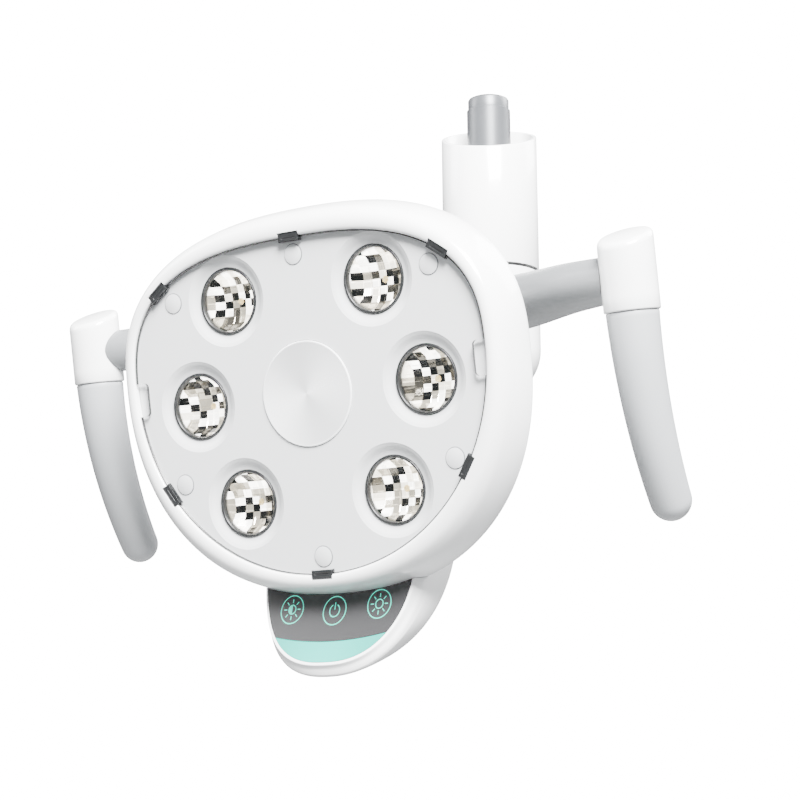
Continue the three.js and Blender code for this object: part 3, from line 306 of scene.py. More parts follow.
def machined(piece, *tools, how="DIFFERENCE"):
    """Cuts tools out of a piece, joins them to it, or keeps what they share, and uses them up."""
    for tool in tools:
        work = piece.modifiers.new("work", "BOOLEAN")
        work.operation = how
        work.solver = "EXACT"
        work.object = tool
        bpy.context.view_layer.objects.active = piece
        bpy.ops.object.modifier_apply(modifier="work")
        bpy.data.objects.remove(tool)
    return piece


def rounded(piece, width, segments=3, sharp=30):
    """Rounds every edge sharper than that many degrees."""
    edge = piece.modifiers.new("edge", "BEVEL")
    edge.width = width * 0.001
    edge.segments = segments
    edge.angle_limit = math.radians(sharp)
    bpy.context.view_layer.objects.active = piece
    bpy.ops.object.modifier_apply(modifier="edge")
    return piece


def fitted(piece, body, slot, material, *nodes, smooth=35):
    """Smooths a finished piece, gives it its finish, and fixes it to its body."""
    alone()
    bpy.context.view_layer.objects.active = piece
    piece.select_set(True)
    bpy.ops.object.shade_smooth_by_angle(angle=math.radians(smooth))
    piece.data.materials.clear()
    piece.data.materials.append(material)
    if nodes:
        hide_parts(*nodes)
    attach(piece, body)
    return piece


def block(name, size, centre, matrix):
    """A square-edged block in millimetres, at a place that the matrix gives."""
    alone()
    bpy.ops.mesh.primitive_cube_add(size=1)
    piece = bpy.context.object
    piece.name = name
    for vertex in piece.data.vertices:
        local = [v * s + c for v, s, c in zip(vertex.co, size, centre)]
        vertex.co = matrix @ Vector(local)
    return piece


HEAD = Matrix.Translation(FACE) @ Matrix.Rotation(PITCH, 4, "X") @ Matrix.Scale(0.001, 4)
CLIP_TURNS = [0, 48.5, 123, 180, 237, 311.5]


def clip_place(degrees):
    """Where a clip stands across the opening's edge, turned along it."""
    x, z = oval(OPENING, degrees / 360)
    ax, az = oval(OPENING, (degrees - 1) / 360)
    bx, bz = oval(OPENING, (degrees + 1) / 360)
    slope = math.atan2(bz - az, bx - ax)
    return HEAD @ Matrix.Translation((x, 0, z)) @ Matrix.Rotation(-slope, 4, "Y")


bezel_line = [
    (0.0, 0, -0.7), (0.03, 0, -1.3), (0.1, 0, -1.8), (0.22, 0, -2.0), (0.36, 0, -1.6), (0.5, 0, -0.4),
    (0.63, 0, 1.9), (0.75, 0, 5.2), (0.85, 0, 10.2), (0.92, 0, 14.8), (0.975, 0, 20.0), (1.0, 0, 24.3),
]
bezel_back = [
    (1.0, 0, PARTING), (1.0, -2.5, PARTING), (0.92, -1.6, 16.8), (0.75, -1.3, 7.7), (0.5, -1.0, 1.6),
    (0.17, 0, 0.5), (0.17, 0, 2.2), (0.0, 0, 2.2), (0.0, 0, -0.7),
]


def bezel_place(u, v):
    if v < 0.8:
        share, by, back = eased(bezel_line, v / 0.8)
    else:
        spot = (v - 0.8) / 0.2 * (len(bezel_back) - 1)
        share, by, back = bezel_back[min(int(round(spot)), len(bezel_back) - 1)]
    across, up = oval(between(share, by), u)
    return on_face(across, back, up)


bezel = skin("white_front_bezel", 240, 45, bezel_place)
notches = [block("notch", (14.6, 8, 5.6), (0, -1.5, -0.3), clip_place(angle)) for angle in CLIP_TURNS]
machined(bezel, *notches)
fitted(bezel, "head", "white_shell", gloss_white, "front_bezel", smooth=42)

# ---- Rear shell ----
# A shallow domed back of the same moulding, fixed by four screws in wells, with two rows of vent slots and a
# round boss where the tilt bracket's flange sits. It is coloured with a darker copy of the white moulding,
# as painted shade.
REAR = 74
HUB_BACK, HUB_UP = 119.3, 42.2
SCREW_TURNS, SCREW_SHARE = (48, 132, 228, 312), 0.8
shell_line = [
    (1.0, 0.0), (1.0, 0.04), (0.985, 0.11), (0.962, 0.18), (0.925, 0.3), (0.878, 0.42), (0.82, 0.545),
    (0.748, 0.655), (0.66, 0.755), (0.56, 0.84), (0.445, 0.91), (0.32, 0.96), (0.17, 0.99), (0.0, 1.0),
]


def shrunk(size, share=1, less=0):
    """An oval's sizes at a share of their own, less a margin, with the same fullness."""
    return tuple(value * share - less for value in size[:3]) + size[3:]


def shell_place(u, v):
    start = PARTING + 0.3
    if v < 0.5:
        share, rise = eased(shell_line, v / 0.5)
        wall, run = 0.0, REAR - start
    else:
        share, rise = eased(shell_line, max(0.0, 1 - (v - 0.5) / 0.48))
        wall, run = 2.5, REAR - start - 2.5
    share = max(share, 0.0)
    if v > 0.985:
        share, rise, wall, run = 1.0, 0.0, 0.0, REAR - start
    size = [value * share - (wall if share > 0.03 else 0) for value in OUTSIDE[:3]]
    across, up = oval((max(size[0], 0), max(size[1], 0), max(size[2], 0)) + OUTSIDE[3:], u)
    return on_face(across, start + rise * run, up)


def round_bar(name, radius, low, high, centre, matrix, sides=48):
    """A plain round bar along the matrix's second axis, in millimetres."""
    alone()
    bpy.ops.mesh.primitive_cylinder_add(vertices=sides, radius=radius, depth=high - low)
    piece = bpy.context.object
    piece.name = name
    for vertex in piece.data.vertices:
        x, y, z = vertex.co
        local = Vector((x + centre[0], z + (low + high) / 2, -y + centre[1]))
        vertex.co = matrix @ local
    return piece


shell = skin("white_rear_shell", 200, 100, shell_place)
boss = round_bar("boss", 40, REAR - 12, REAR + 2, (0, HUB_UP), HEAD, 96)
machined(shell, boss, how="UNION")
machined(shell, round_bar("wire_way", 8, REAR - 30, REAR + 10, (0, HUB_UP), HEAD))
for side in (-1, 1):
    for row in range(4):
        slot = block("slot", (27, 60, 3.6), (side * 62, REAR - 20, -37 + row * 9), HEAD)
        machined(shell, rounded(slot, 1.7, 4))
screw_places = []
for degrees in SCREW_TURNS:
    place = oval(shrunk(OUTSIDE, SCREW_SHARE), degrees / 360)
    screw_places.append(place)
    machined(shell, round_bar("well", 6.3, 38, REAR - 14, place, HEAD), how="UNION")
    machined(shell, round_bar("well", 3.8, 44, REAR + 4, place, HEAD))
# Painted shade: a darker copy of the white moulding, for the back of the head and the sleeve's floor plate.
shaded_white_moulding = moulding("shell_white_painted_shade", (238, 239, 239), (230, 231, 232), 0.24, coat=0.25)
fitted(shell, "head", "white_shell", shaded_white_moulding, "rear_shell", smooth=35)

# ---- Shell screws ----
# Pan-head steel screws with a cross recess, one at the bottom of each well.
steel = Finish("turned_steel", Metallic=1.0, Roughness=0.28)
tone = steel.noise(70, 4)
steel.feed("Base Color", steel.blend(tone, linear(150, 153, 156), linear(176, 178, 180)))
steel.feed("Roughness", steel.noise(300, 3) * 0.2 + 0.2)
steel.bump(steel.noise(1200, 2), 0.12, 0.0002)


def turned(name, points, matrix, centre=(0, 0), sides=72):
    """A turned piece from (radius, depth) points along the matrix's second axis, in millimetres."""
    def place(u, v):
        radius, depth = points[min(int(round(v * (len(points) - 1))), len(points) - 1)]
        angle = u * math.tau
        local = (centre[0] + radius * math.sin(angle), depth, centre[1] + radius * math.cos(angle))
        return matrix @ Vector(local)
    return skin(name, sides, len(points) - 1, place)


for number, (x, z) in enumerate(screw_places, 1):
    profile = [(0, 34), (1.2, 34), (1.6, 34.6), (1.6, 44.3), (3.2, 44.3), (3.4, 44.6), (3.4, 45.6)]
    profile += [(3.1, 46.3), (2.3, 46.6), (0, 46.7)]
    screw = turned("steel_shell_screw_" + str(number), profile, HEAD, (x, z), 40)
    for size in ((3.4, 1.8, 0.8), (0.8, 1.8, 3.4)):
        machined(screw, block("recess", size, (x, 46.4, z), HEAD))
    fitted(screw, "head", "steel", steel.material, "shell_screw_" + str(number))

# ---- Lens panel ----
# A pale grey plate behind the cover. Each lamp sits at the bottom of a shallow dish pressed in it, the
# middle is recessed for the disc, and six round pads stand where the clips press.
LAMP_RING, LAMP_SPREAD = 79.3, 49.7
PANEL, PANEL_BACK, DISH = 2.6, 5.0, 2.8
PAD_INSET, PAD_RADIUS = 10.5, 6
TRIM_FRONT = PANEL + DISH - 0.9
TRIM_BACK = TRIM_FRONT + 3.5
lamps = []
for degrees in (0, LAMP_SPREAD, 180 - LAMP_SPREAD, 180, 180 + LAMP_SPREAD, 360 - LAMP_SPREAD):
    angle = math.radians(degrees)
    lamps.append((LAMP_RING * math.cos(angle), LAMP_RING * math.sin(angle)))


def plate_place(size, front, back, chamfer=0.25):
    """Front, rim and back of a flat plate in the head's oval."""
    def place(u, v):
        ring = int(round(v * 5))
        share, inset, depth = [
            (0, 0, front), (1, chamfer, front), (1, 0, front + chamfer),
            (1, 0, back - chamfer), (1, chamfer, back), (0, 0, back),
        ][ring]
        x, z = oval(shrunk(size, share, inset), u)
        return on_face(x if share else 0, depth, z if share else WAIST)
    return place


panel = skin("grey_lens_panel", 240, 5, plate_place((126.5, 81, 124.5, 2.65, 2.05), PANEL, PANEL_BACK))
for x, z in lamps:
    machined(panel, round_bar("cup", 28.5, PANEL + 0.2, TRIM_BACK, (x, z), HEAD, 96), how="UNION")
for degrees in CLIP_TURNS:
    x, z = oval(shrunk(OPENING, less=PAD_INSET), degrees / 360)
    pad = round_bar("pad", PAD_RADIUS, PANEL - 0.45, PANEL + 0.8, (x, z), HEAD, 48)
    rounded(pad, 0.25, 2, 60)
    machined(panel, pad, how="UNION")
dish_line = [(0, PANEL - 1.2), (29.0, PANEL - 1.2), (27.2, PANEL + 0.02), (26.0, PANEL + 0.35)]
dish_line += [(24.6, PANEL + 1.1), (23.2, PANEL + 1.95), (21.8, PANEL + 2.55), (20.3, PANEL + 2.8)]
dish_line += [(20.3, TRIM_BACK + 1), (0, TRIM_BACK + 1)]
for x, z in lamps:
    machined(panel, turned("dish", dish_line, HEAD, (x, z), 96))
machined(panel, round_bar("recess", 31.3, PANEL - 1, PANEL + 1, (0, 0), HEAD, 128))


def face_axes(finish):
    """Millimetres across and up the head's face, for a finish that is laid out on it."""
    x, y, z = finish.axes()
    rise = (z - FACE.z) * math.cos(PITCH) - (y - FACE.y) * math.sin(PITCH)
    return x * 1000, rise * 1000


panel_grey = Finish("satin_grey_panel", Roughness=0.3, Coat_Weight=0.15, Coat_Roughness=0.05)
across, rise = face_axes(panel_grey)
# Painted shade: a thin dark ring round each pad stands in for the shadow at its edge, and is mixed into the
# panel's colour below.
pad_edge_shade = None
for degrees in CLIP_TURNS:
    pad_x, pad_z = oval(shrunk(OPENING, less=PAD_INSET), degrees / 360)
    dx, dz = across - pad_x, rise - pad_z
    ring = abs((dx * dx + dz * dz) ** 0.5 - (PAD_RADIUS + 0.1)) < 0.28
    pad_edge_shade = ring if pad_edge_shade is None else pad_edge_shade | ring
tone = panel_grey.blend(panel_grey.noise(9, 3), linear(212, 213, 214), linear(206, 207, 208))
panel_grey.feed("Base Color", panel_grey.blend(pad_edge_shade, tone, linear(112, 114, 117)))
panel_grey.feed("Roughness", panel_grey.noise(60, 5) * 0.12 + 0.25)
panel_grey.bump(panel_grey.noise(900, 2) * 0.6 + panel_grey.noise(180, 3) * 0.4, 0.04)
fitted(panel, "head", "grey_panel", panel_grey.material, "lens_panel", smooth=28)

# ---- Centre disc ----
# A thin pressed disc with a pearl finish and a fine rolled rim. Its lighter sectors are a painted
# reflection, and a painted highlight whitens the rim.
RIM_HIGHLIGHT_START, RING_WAVES = 29.9, 5.2
disc_line = [(0, 1.95), (28.6, 2.0), (29.6, 1.75), (30.4, 1.7), (30.9, 2.0), (31, 2.4), (31, 3.3), (0, 3.3)]
disc = turned("pearl_centre_disc", disc_line, HEAD, (0, 0), 128)
pearl = Finish("pearl_disc", Roughness=0.2, Metallic=0.15, Coat_Weight=0.4, Coat_Roughness=0.08)
across, rise = face_axes(pearl)
# Painted reflection: the base colour swings between grey and white in sectors round the centre.
sheen_sectors = (rise.sum("ARCTAN2", across) * 2 + 0.9).sum("SINE") * 0.5 + 0.5
far = (across * across + rise * rise) ** 0.5
painted_sector_sheen = pearl.blend(sheen_sectors, linear(206, 207, 208), linear(250, 251, 252))
# Painted highlight: beyond the rim's start the colour turns near white.
pearl.feed("Base Color", pearl.blend(far > RIM_HIGHLIGHT_START, painted_sector_sheen, linear(248, 249, 250)))
rings = (far * RING_WAVES).sum("SINE")
pearl.feed("Roughness", sheen_sectors * 0.1 + pearl.noise(500, 2) * 0.06 + 0.14)
pearl.bump(rings * 0.5 + pearl.noise(700, 2) * 0.3, 0.05, 0.0002)
fitted(disc, "head", "pearl_disc", pearl.material, "centre_disc", smooth=25)

# ---- Lamps ----
# Six lamps, each a black trim ring round a mirror bowl pressed in small square facets, with a warm emitter
# at its bottom. The facets' bright and dark squares are painted reflections, and the facets glow with the
# same painted light.
black = Finish("black_trim_moulding", Roughness=0.4)
black.feed("Base Color", black.blend(black.noise(120, 3), linear(7, 7, 8), linear(14, 15, 16)))
black.feed("Roughness", black.noise(400, 3) * 0.2 + 0.3)
black.bump(black.noise(1500, 2), 0.1, 0.0002)

FACET = 4.55
facets = Finish("facet_mirror", Metallic=0.85, Roughness=0.16, Emission_Strength=6.0)
across, rise = face_axes(facets)
column = (across * (1 / FACET) + 100.5).sum("FLOOR")
row = (rise * (1 / FACET) + 100.5).sum("FLOOR")
cell = facets.node("CombineXYZ", None, {0: column, 1: row}).out()
chance = facets.node("TexWhiteNoise", {"noise_dimensions": "2D"}, {"Vector": cell}).out("Value")
chequer = (column + row).sum("MODULO", 2.0)
painted_reflection_share = chance * 0.72 + chequer * 0.28
# Painted reflection: each facet's base colour, from black to warm white, stands in for what its mirror face
# reflects.
stops = [
    (0.0, linear(6, 6, 7)), (0.16, linear(34, 33, 32)), (0.27, linear(92, 88, 80)),
    (0.38, linear(170, 164, 150)), (0.52, linear(236, 231, 220)), (0.72, linear(252, 250, 244)),
]
# Painted light: the facets glow in the same pattern, though the reflector is no lamp.
painted_glow_stops = [
    (0.0, linear(0, 0, 0)), (0.38, linear(96, 92, 82)),
    (0.52, linear(196, 190, 176)), (0.66, linear(255, 253, 247)),
]
facets.feed(
    "Base Color",
    facets.node("ValToRGB", {"stops": stops, "steps": "CONSTANT"}, {"Fac": painted_reflection_share}).out("Color"),
)
facets.feed(
    "Emission Color",
    facets.node("ValToRGB", {"stops": painted_glow_stops, "steps": "CONSTANT"}, {"Fac": painted_reflection_share}).out("Color"),
)
facets.feed("Roughness", chance * 0.15 + 0.1)
facets.bump(facets.noise(1400, 2), 0.05, 0.0001)

glow = Finish("warm_emitter", Roughness=0.35, Emission_Strength=0.6)
spark = glow.node("TexVoronoi", None, {"Vector": glow.place(), "Scale": 900.0}).out("Distance")
glow.feed("Base Color", glow.blend(spark, linear(255, 238, 190), linear(255, 214, 120)))
glow.feed("Emission Color", glow.blend(spark, linear(255, 244, 214), linear(255, 226, 160)))

bowl_top, bowl_deep, bowl_radius = TRIM_BACK + 0.3, 11.0, 18.2
for number, (x, z) in enumerate(lamps, 1):
    trim_line = [(18.2, TRIM_FRONT + 0.9), (18.6, TRIM_FRONT + 0.35), (19.2, TRIM_FRONT + 0.05)]
    trim_line += [(19.7, TRIM_FRONT + 0.1), (20, TRIM_FRONT + 0.5), (20, TRIM_BACK), (18.2, TRIM_BACK)]
    trim_line += [(18.2, TRIM_FRONT + 0.9)]
    trim = turned("black_lamp_trim_" + str(number), trim_line, HEAD, (x, z), 96)
    fitted(trim, "head", "black_ring", black.material, "lamp_trim_ring_" + str(number), smooth=50)

    alone()
    bpy.ops.mesh.primitive_grid_add(x_subdivisions=8, y_subdivisions=8, size=2 * bowl_radius)
    bowl = bpy.context.object
    bowl.name = "facet_bowl_" + str(number)
    for vertex in bowl.data.vertices:
        radius = math.hypot(vertex.co.x, vertex.co.y)
        shrink = min(1.0, bowl_radius / radius) if radius else 1.0
        dx, dz = vertex.co.x * shrink, vertex.co.y * shrink
        depth = bowl_top + bowl_deep * math.sqrt(max(0.0, 1 - (min(radius, bowl_radius) / bowl_radius) ** 2))
        vertex.co = on_face(x + dx, depth, z + dz)
    bpy.ops.object.mode_set(mode="EDIT")
    bpy.ops.mesh.select_all(action="SELECT")
    bpy.ops.mesh.inset(thickness=0.00028, depth=-0.00025, use_individual=True)
    bpy.ops.mesh.select_all(action="SELECT")
    bpy.ops.object.mode_set(mode="OBJECT")
    wall = bowl.modifiers.new("wall", "SOLIDIFY")
    wall.thickness = 0.0009
    wall.offset = -1 if bowl.data.polygons[0].normal.y < 0 else 1
    bpy.ops.object.modifier_apply(modifier="wall")
    fitted(bowl, "head", "reflector", facets.material, "lamp_reflector_" + str(number), smooth=5)

# ---- Emitter board, heat sink and driver ----
# A ring board of green laminate carries the six emitters against a finned cast plate, and the driver
# board stands behind it. They only show through the vents.
laminate = Finish("green_laminate", Roughness=0.5)
x, y, z = laminate.axes()
track = ((x * 900).sum("SINE") * (z * 700).sum("SINE")) > 0.72
laminate.feed("Base Color", laminate.blend(track, linear(28, 98, 64), linear(186, 152, 84)))
laminate.feed("Roughness", laminate.noise(300, 3) * 0.2 + 0.4)
laminate.bump(laminate.noise(900, 3), 0.1, 0.0002)
cast = Finish("cast_aluminium", Metallic=1.0, Roughness=0.42)
cast.feed("Base Color", cast.blend(cast.noise(40, 4), linear(186, 189, 192), linear(206, 208, 210)))
cast.feed("Roughness", cast.noise(260, 4) * 0.2 + 0.32)
cast.bump(cast.noise(700, 4), 0.2, 0.0003)
bronze = Finish("bearing_bronze", Metallic=1.0, Roughness=0.34)
bronze.feed("Base Color", bronze.blend(bronze.noise(90, 4), linear(168, 124, 60), linear(194, 152, 86)))
bronze.feed("Roughness", bronze.noise(400, 3) * 0.2 + 0.26)
bronze.bump(bronze.noise(1100, 2), 0.1, 0.0002)
for material, names in (
    (laminate.material, ("led_ring_board", "driver_board", "touch_board")),
    (cast.material, ("heat_sink", "bearing_housing")),
    (bronze.material, ("swivel_bush", "roll_bush", "tilt_washer_right", "tilt_washer_left")),
    (steel.material, ("swivel_shaft", "swivel_nut", "roll_shaft", "roll_nut", "tilt_pin")),
):
    for name in names:
        frame["nodes"][name].data.materials.clear()
        frame["nodes"][name].data.materials.append(material)
bowl_bottom = bowl_top + bowl_deep
for number, (x, z) in enumerate(lamps, 1):
    dome = [(0, -1.6), (1.0, -1.5), (1.9, -1.1), (2.3, -0.5), (2.3, -0.2), (0, -0.2)]
    dome = [(radius, bowl_bottom + rise) for radius, rise in dome]
    emitter = turned("warm_emitter_" + str(number), dome, HEAD, (x, z), 24)
    fitted(emitter, "head", "light_guide", glow.material)

# ---- Clear cover and clips ----
# A flat sheet of clear acrylic lies in the bezel, with a finger notch in each side to lift it by, and
# is held by six small dark clips.
cover = skin("clear_acrylic_cover", 240, 5, plate_place((122.2, 76.7, 120.2, 2.65, 2.05), -0.4, 1.6, 0.6))
for side in (-1, 1):
    machined(cover, rounded(block("finger", (17, 12, 20), (side * 122.5, 0, 8), HEAD), 2.6, 5))
for angle in CLIP_TURNS:
    machined(cover, block("notch", (14.6, 8, 5.6), (0, 0, -0.3), clip_place(angle)))
acrylic = Finish("clear_acrylic", Roughness=0.04, Alpha=0.02)
acrylic.feed("Base Color", acrylic.blend(acrylic.noise(12, 2), linear(96, 102, 102), linear(84, 90, 90)))
acrylic.feed("Roughness", acrylic.noise(160, 3) * 0.05 + 0.02)
# Painted shade: the cover's edge and chamfer are coloured near black, to draw the shaded gap round the
# opening.
edge = Finish("acrylic_edge_painted_shade", Roughness=0.3, Alpha=0.9)
edge.feed("Base Color", edge.blend(edge.noise(90, 3), linear(10, 11, 12), linear(22, 24, 25)))
edge.feed("Roughness", edge.noise(200, 3) * 0.1 + 0.25)
fitted(cover, "head", "clear_cover", acrylic.material, "clear_cover", smooth=30)
cover.data.materials.append(edge.material)
outward = Vector((0, -math.cos(PITCH), -math.sin(PITCH)))
for face in cover.data.polygons:
    if abs(face.normal.dot(outward)) < 0.95:
        face.material_index = 1

clip_dark = Finish("dark_clip_moulding", Roughness=0.45)
clip_dark.feed("Base Color", clip_dark.blend(clip_dark.noise(200, 3), linear(7, 8, 9), linear(15, 17, 19)))
clip_dark.feed("Roughness", clip_dark.noise(500, 2) * 0.2 + 0.35)
clip_dark.bump(clip_dark.noise(1300, 2), 0.1, 0.0002)
for number, degrees in enumerate(CLIP_TURNS, 1):
    at_clip = clip_place(degrees)
    clip = block("dark_cover_clip_" + str(number), (14, 3.4, 5), (0, 0.3, -0.3), at_clip)
    machined(clip, block("groove", (9.4, 1.0, 1.1), (0, -1.4, -0.9), at_clip))
    rounded(clip, 0.35, 2)
    fitted(clip, "head", "dark_clip", clip_dark.material, "cover_clip_" + str(number))

# ---- Control pod ----
# A white chin under the head, hollow, whose front scoops forward to carry a grey glass with three
# printed keys and a strip that glows along its foot.
POD_HALF, POD_SHOULDER, POD_BOTTOM, POD_FULL = 51.7, -93, -155.1, 2.5
POD_HEAD = -88


def scoop(level):
    return 14.9 + 0.387 * (level + 112) - 0.004 * (level + 112) ** 2


EDGE_STEPS = 140


def pod_edge(half, shoulder, bottom, full, top, u):
    """Across and up of the pod's edge: its right side, round the foot to its left, and over its top."""
    step = int(round(u * EDGE_STEPS)) % EDGE_STEPS
    if step > EDGE_STEPS - 3:
        return (half if step == EDGE_STEPS - 1 else -half), top
    turn = step / (EDGE_STEPS - 3) * math.pi
    sine, cosine = math.sin(turn), math.cos(turn)
    across = half * math.copysign(abs(cosine) ** (2 / full), cosine)
    return across, shoulder - (shoulder - bottom) * abs(sine) ** (2 / full)


def wall_depth(level):
    return 33.8 + 0.777 * (level + 112)


def lip_depth(level):
    return scoop(level) - 0.4


# Each ring is half width, shoulder, bottom, fullness, and shares of lip, wall, back and tail depth.
pod_rings = [
    (POD_HALF + 1.0, POD_SHOULDER, POD_BOTTOM - 1.0, POD_FULL, 0.05, 0, 0),
    (POD_HALF + 1.6, POD_SHOULDER, POD_BOTTOM - 1.6, POD_FULL, 0.09, 0, 0),
    (POD_HALF + 2.0, -98, -158.6, 2.45, 0.34, 0, 0),
    (POD_HALF + 2.2, -104, -161.0, 2.4, 0.57, 0, 0),
    (53.9, -107.5, -163.0, 2.35, 0.8, 0, 0),
    (54.2, -109.6, -163.9, 2.3, 1, 0.05, 0),
    (54.9, -109, -162.9, 2.3, 1, 0.5, 0),
    (54.6, -108, -160.6, 2.3, 1, 1, 0),
    (51.5, -106, -156.6, 2.25, 1, 1, 0.55),
    (44.0, -104, -150.0, 2.2, 1, 1, 1),
    (28.0, -108, -137.0, 2.2, 1, 1, 1.07),
]


def pod_place(u, v):
    row = int(round(v * 60))
    half, shoulder, bottom, full, wall, back, tail = eased(pod_rings, min(max(row - 1, 0) / 58, 1.0))
    across, level = pod_edge(half, shoulder, bottom, full, POD_HEAD, u)
    if row in (0, 60):
        across, level = 0, -118
    depth = lip_depth(level) * (1 - wall) + wall_depth(level) * wall
    depth += back * (55 + 0.72 * (level + 109) - wall_depth(level))
    depth += tail * (62 + 0.62 * (level + 109) - (55 + 0.72 * (level + 109)))
    return on_face(across, depth, level)


def head_outside(u, v):
    """The head's closed outside, a hair larger, that the pod is cut back from."""
    if v < 0.4:
        share, by, back = eased([(-9.2, 0, -2.3)] + bezel_line[3:], v / 0.4)
        if v < 0.02:
            return on_face(0, -2.3, WAIST)
        x, z = oval(between(max(share, 0.2), 0.3), u)
        return on_face(x, back - 0.3, z)
    share, rise = eased(shell_line, (v - 0.4) / 0.6)
    x, z = oval(shrunk(OUTSIDE, max(share, 0), -0.3 if share > 0.02 else 0), u)
    return on_face(x, PARTING + 0.6 + rise * (REAR - PARTING), z)


STRIP_TOP = POD_BOTTOM + 11
pod = skin("white_control_pod", EDGE_STEPS, 60, pod_place)
machined(pod, skin("outside", 160, 60, head_outside))


def trough(name, u_steps, corner):
    """A solid bar with four long corners, open ends closed, laid out by corner(share, which)."""
    def place(u, v):
        return corner(u, int(round(v * 4)) % 4)
    piece = skin(name, u_steps, 4, place)
    bpy.ops.object.mode_set(mode="EDIT")
    bpy.ops.mesh.select_all(action="DESELECT")
    bpy.ops.mesh.select_non_manifold()
    bpy.ops.mesh.edge_face_add()
    bpy.ops.mesh.select_all(action="SELECT")
    bpy.ops.mesh.normals_make_consistent(inside=False)
    bpy.ops.object.mode_set(mode="OBJECT")
    return piece


def scoop_solid(name, front, back, top=-80, foot=-175):
    """Everything between two depths behind the scoop's face, wider than the pod."""
    def corner(share, which):
        level = top + (foot - top) * share
        return on_face((-80, 80, 80, -80)[which], scoop(level) + (front, front, back, back)[which], level)
    return trough(name, 60, corner)


def edge_prism(name, by):
    """The pod's edge drawn straight back, which trims the glass and its seat."""
    def place(u, v):
        x, level = pod_edge(POD_HALF + by, POD_SHOULDER, POD_BOTTOM - by, POD_FULL, POD_HEAD + 20, u)
        if int(round(v * 3)) in (0, 3):
            x, level = 0, -110
        return on_face(x, -40 if v < 0.5 else 80, level)
    return skin(name, EDGE_STEPS, 3, place)


def beyond_line(name, shift, far):
    """Everything between the glass's curved foot line and a level far above or below it."""
    def corner(share, which):
        x = -70 + 140 * share
        line = STRIP_TOP + 3.7 * (x / 39) ** 2 + shift
        return on_face(x, (-40, 80, 80, -40)[which], (line, line, far, far)[which])
    return trough(name, 60, corner)


def within_edge(piece, by):
    """Trims a piece to the pod's edge, moved out by so many millimetres."""
    return machined(piece, edge_prism("edge", by), how="INTERSECT")


GLASS, GLASS_GAP, POCKET, POD_WALL = 2.0, 0.3, 12, 3.5
KEYS = {"half": (-30.2, -125.2), "power": (0.1, -127.1), "full": (30.5, -124.8)}
machined(pod, within_edge(scoop_solid("seat", -60, GLASS + GLASS_GAP), 0))
machined(pod, within_edge(scoop_solid("pocket", 0, POCKET), -POD_WALL))
fitted(pod, "head", "white_shell", gloss_white, "pod_housing", smooth=40)

touch = Finish(
    "printed_grey_glass", Roughness=0.37, Coat_Weight=0.12, Coat_Roughness=0.1, Emission_Strength=1.2
)
across, rise = face_axes(touch)
print_mask = None
for kind, (key_x, key_z) in KEYS.items():
    dx, dz = across - key_x, rise - key_z
    far = (dx * dx + dz * dz) ** 0.5
    mark = abs(far - 7.8) < 0.3
    if kind == "power":
        mark = mark | ((abs(far - 3.4) < 0.32) * ((abs(dx) > 1.5) | (dz < 0)))
        mark = mark | ((abs(dx) < 0.32) * (dz > 0.6) * (dz < 4.6))
    else:
        swing = dz.sum("ARCTAN2", dx).sum("PINGPONG", math.pi / 8)
        ray = (far * swing.sum("SINE") < 0.3) * (far > 3.7) * (far < 5.8)
        mark = mark | (abs(far - 2.5) < 0.3) | ray
        if kind == "half":
            mark = mark | ((far < 2.5) * (dx < 0))
    print_mask = mark if print_mask is None else print_mask | mark
ground = touch.blend(touch.noise(14, 3), linear(38, 38, 39), linear(45, 45, 46))
touch.feed("Base Color", touch.blend(print_mask, ground, linear(20, 150, 132)))
touch.feed("Emission Color", touch.blend(print_mask, linear(0, 0, 0), linear(20, 205, 180)))
touch.feed("Roughness", print_mask * 0.1 + touch.noise(120, 3) * 0.06 + 0.34)
touch.bump(touch.noise(60, 2), 0.02, 0.0002)
glass = within_edge(scoop_solid("grey_touch_glass", 0, GLASS), -GLASS_GAP)
machined(glass, skin("outside", 160, 60, head_outside), beyond_line("line", GLASS_GAP, -200))
fitted(glass, "head", "grey_glass", touch.material, "touch_glass", smooth=40)

mint = Finish("mint_light_guide", Roughness=0.4, Emission_Strength=1.3)
wave = (mint.axes()[0] * 60).sum("COSINE") * 0.5 + mint.noise(30, 3) * 0.5
mint.feed("Base Color", mint.blend(wave, linear(8, 122, 110), linear(16, 140, 128)))
mint.feed("Emission Color", mint.blend(wave, linear(0, 205, 190), linear(10, 222, 206)))
mint.feed("Roughness", mint.noise(200, 2) * 0.1 + 0.2)
strip = within_edge(scoop_solid("mint_light_strip", 0, GLASS), -GLASS_GAP)
machined(strip, skin("outside", 160, 60, head_outside), beyond_line("line", 0, -60))
fitted(strip, "head", "light_guide", mint.material, "light_strip", smooth=40)

# ---- Handle bars ----
# Two round bars with a satin grey cover. Each sweeps forward and outwards from the tilt bracket's
# cheek to its cap, and thins on the way.
HANDLE, HANDLE_BACK, BAR_LEVEL = 190, 48.4, 44.5
CHEEK_OUT = 30.0
BAR_THICK, BAR_TAPER = 18.5, 6.2


def down_handle(sign):
    """The matrix that stands a turned piece on a handle's axis."""
    middle = Matrix.Translation((sign * HANDLE, HANDLE_BACK, 0))
    return HEAD @ middle @ Matrix.Rotation(math.pi / 2, 4, "X")


def curve_through(points, share):
    return Vector(eased([tuple(point) for point in points], share))


